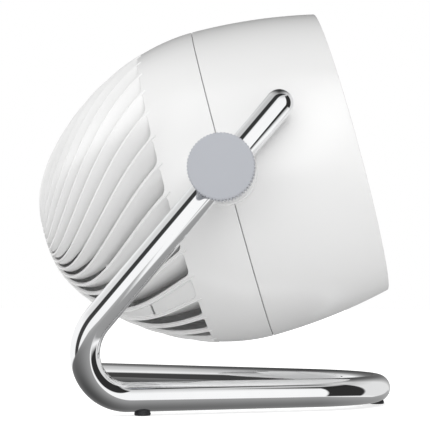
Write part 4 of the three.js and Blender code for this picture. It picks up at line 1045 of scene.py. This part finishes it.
class Sky:
    """The world's node tree, with values worked out from the direction of a ray."""

    def __init__(self):
        world = bpy.data.worlds.new("studio")
        bpy.context.scene.world = world
        world.use_nodes = True
        self.tree = world.node_tree
        self.tree.nodes.clear()
        self.direction = self.add("ShaderNodeTexCoord").outputs["Generated"]

    def add(self, kind, **values):
        node = self.tree.nodes.new(kind)
        for key, value in values.items():
            setattr(node, key, value)
        return node

    def link(self, start, end):
        self.tree.links.new(start, end)

    def math(self, kind, *terms):
        node = self.add("ShaderNodeMath", operation=kind)
        for socket, term in zip(node.inputs, terms):
            if isinstance(term, (int, float)):
                socket.default_value = term
            else:
                self.link(term, socket)
        return node.outputs[0]

    def along(self, *direction):
        """How far a ray points one way, from -1 to 1."""
        node = self.add("ShaderNodeVectorMath", operation="DOT_PRODUCT")
        self.link(self.direction, node.inputs[0])
        node.inputs[1].default_value = tuple(Vector(direction).normalized())
        return node.outputs["Value"]

    def degrees(self, sideways, ahead):
        """The angle of a ray, in degrees, from the way ahead towards the way sideways."""
        return self.math("MULTIPLY", self.math("ARCTAN2", sideways, ahead), 180 / math.pi)

    def curve(self, value, low, high, stops):
        """A grey that follows stops of (value, grey)."""
        share = self.math("DIVIDE", self.math("SUBTRACT", value, low), high - low)
        node = self.add("ShaderNodeValToRGB")
        elements = node.color_ramp.elements
        elements.remove(elements[-1])
        elements[0].position = (stops[0][0] - low) / (high - low)
        elements[0].color = (*[stops[0][1]] * 3, 1)
        for at, grey in stops[1:]:
            elements.new((at - low) / (high - low)).color = (grey, grey, grey, 1)
        self.link(share, node.inputs["Fac"])
        return node.outputs["Color"]

    def reach(self, value, stops):
        """A curve over the share of a direction, from -1 to 1."""
        return self.curve(value, -1, 1, stops)

    def background(self, color, strength):
        node = self.add("ShaderNodeBackground")
        if isinstance(color, tuple):
            node.inputs["Color"].default_value = color
        else:
            self.link(color, node.inputs["Color"])
        node.inputs["Strength"].default_value = strength
        return node.outputs[0]

    def mix(self, share, first, second):
        node = self.add("ShaderNodeMixShader")
        for socket, source in zip(node.inputs, (share, first, second)):
            self.link(source, socket)
        return node.outputs[0]


def make_world():
    """White to the camera. The light is soft, and the tube mirrors a white room with dark flags."""
    sky = Sky()
    up = sky.along(0, 0, 1)
    right = sky.along(1, 0, 0)
    near = sky.along(0, -1, 0)
    aside = sky.math("ABSOLUTE", right)

    # overhead the room fades, and behind the object it is dark, but not to the sides
    over = sky.math("SUBTRACT", sky.along(0, 0.75, 0.66), sky.math("MULTIPLY", aside, 0.8))
    behind = sky.reach(over, [(0.35, 1.0), (0.55, 0.5), (0.72, 0.2), (0.88, 0.08), (1.0, 0.03)])
    ceiling = sky.reach(up, [(0.45, 1.0), (0.6, 0.85), (0.73, 0.7), (0.87, 0.5), (1.0, 0.32)])
    room = sky.math("MULTIPLY", behind, ceiling)

    # one dark flag lies parallel to the arm, up and to the left of the camera, and one stands at the right
    lean = math.radians(ARM_ANGLE)
    upper_left = sky.along(-math.sin(lean), 0, math.cos(lean))
    first_flag = [(30, 1.0), (33, 0.055), (63, 0.055), (68, 1.0)]
    room = sky.math("MULTIPLY", room, sky.curve(sky.degrees(upper_left, near), -180, 180, first_flag))
    second_flag = [(57, 1.0), (59, 0.03), (101, 0.03), (104, 0.78)]
    flag = sky.curve(sky.degrees(right, near), -180, 180, second_flag)
    height = sky.reach(up, [(-0.42, 0), (-0.34, 1), (0.68, 1), (0.76, 0)])
    lifted = sky.math("SUBTRACT", 1, sky.math("MULTIPLY", height, sky.math("SUBTRACT", 1, flag)))
    room = sky.math("MULTIPLY", room, lifted)

    # the ground is darkest straight down, and its edge is lower at the right
    depths = [(-1, 0.11), (-0.96, 0.117), (-0.88, 0.14), (-0.67, 0.2), (-0.33, 0.27), (-0.1, 0.4)]
    ground = sky.math("MULTIPLY_ADD", right, 0.13, sky.reach(up, depths))
    drop = sky.reach(right, [(-1, 0.3), (0, 0.08), (0.45, 0.1), (0.72, 0.42), (1, 0.5)])
    above = sky.reach(sky.math("ADD", up, drop), [(-0.025, 0), (0.025, 1)])
    below = sky.math("SUBTRACT", 1, above)
    shiny = sky.math("ADD", sky.math("MULTIPLY", above, room), sky.math("MULTIPLY", below, ground))

    # the light on dull surfaces is soft: stronger overhead and on the far side, and a little at the left
    soft = sky.reach(up, [(-1, 0.75), (0, 0.5), (0.45, 1.4), (1, 2.05)])
    far_side = sky.reach(near, [(-1, 1.0), (-0.1, LEAST_SOFT), (1, LEAST_SOFT)])
    left_side = sky.reach(right, [(-1, 0.6), (-0.3, LEAST_SOFT), (1, LEAST_SOFT)])
    soft = sky.math("MULTIPLY", sky.math("MULTIPLY", soft, far_side), left_side)
    seen = sky.add("ShaderNodeLightPath")
    dull = sky.background(soft, SOFT_LIGHT / LEAST_SOFT ** 2)
    light = sky.mix(seen.outputs["Is Glossy Ray"], dull, sky.background(shiny, 1.0))
    white = sky.background((1, 1, 1, 1), 1.0)
    out = sky.add("ShaderNodeOutputWorld")
    sky.link(sky.mix(seen.outputs["Is Camera Ray"], light, white), out.inputs["Surface"])


def make_lamp(unlit):
    """One large soft lamp; the unlit piece is left out of its light and mirrors only the room."""
    data = bpy.data.lights.new("key", "AREA")
    data.shape = "RECTANGLE"
    data.size, data.size_y = LAMP_SIZE
    data.energy = LAMP_POWER
    lamp = bpy.data.objects.new("key", data)
    bpy.context.scene.collection.objects.link(lamp)
    lamp.location = LAMP_PLACE
    lamp.rotation_euler = (Vector(LAMP_AIM) - Vector(LAMP_PLACE)).to_track_quat("-Z", "Y").to_euler()
    lamp.visible_camera = False
    left_out = bpy.data.collections.new("key_left_out")
    left_out.objects.link(unlit)
    left_out.collection_objects[0].light_linking.link_state = "EXCLUDE"
    lamp.light_linking.receiver_collection = left_out


# ---------------------------------------------------------------- the scene
tube = make_tube()
make_feet()
make_bowl()
make_front()
make_grille()
make_impeller()
make_duct()
rear_bell()
stator_stack()
capacitor_can()
make_dial()
make_pad()
make_knob()
dress_kept_nodes()
make_camera()
make_floor()
make_world()
make_lamp(tube)

bpy.context.scene.view_settings.view_transform = "Standard"
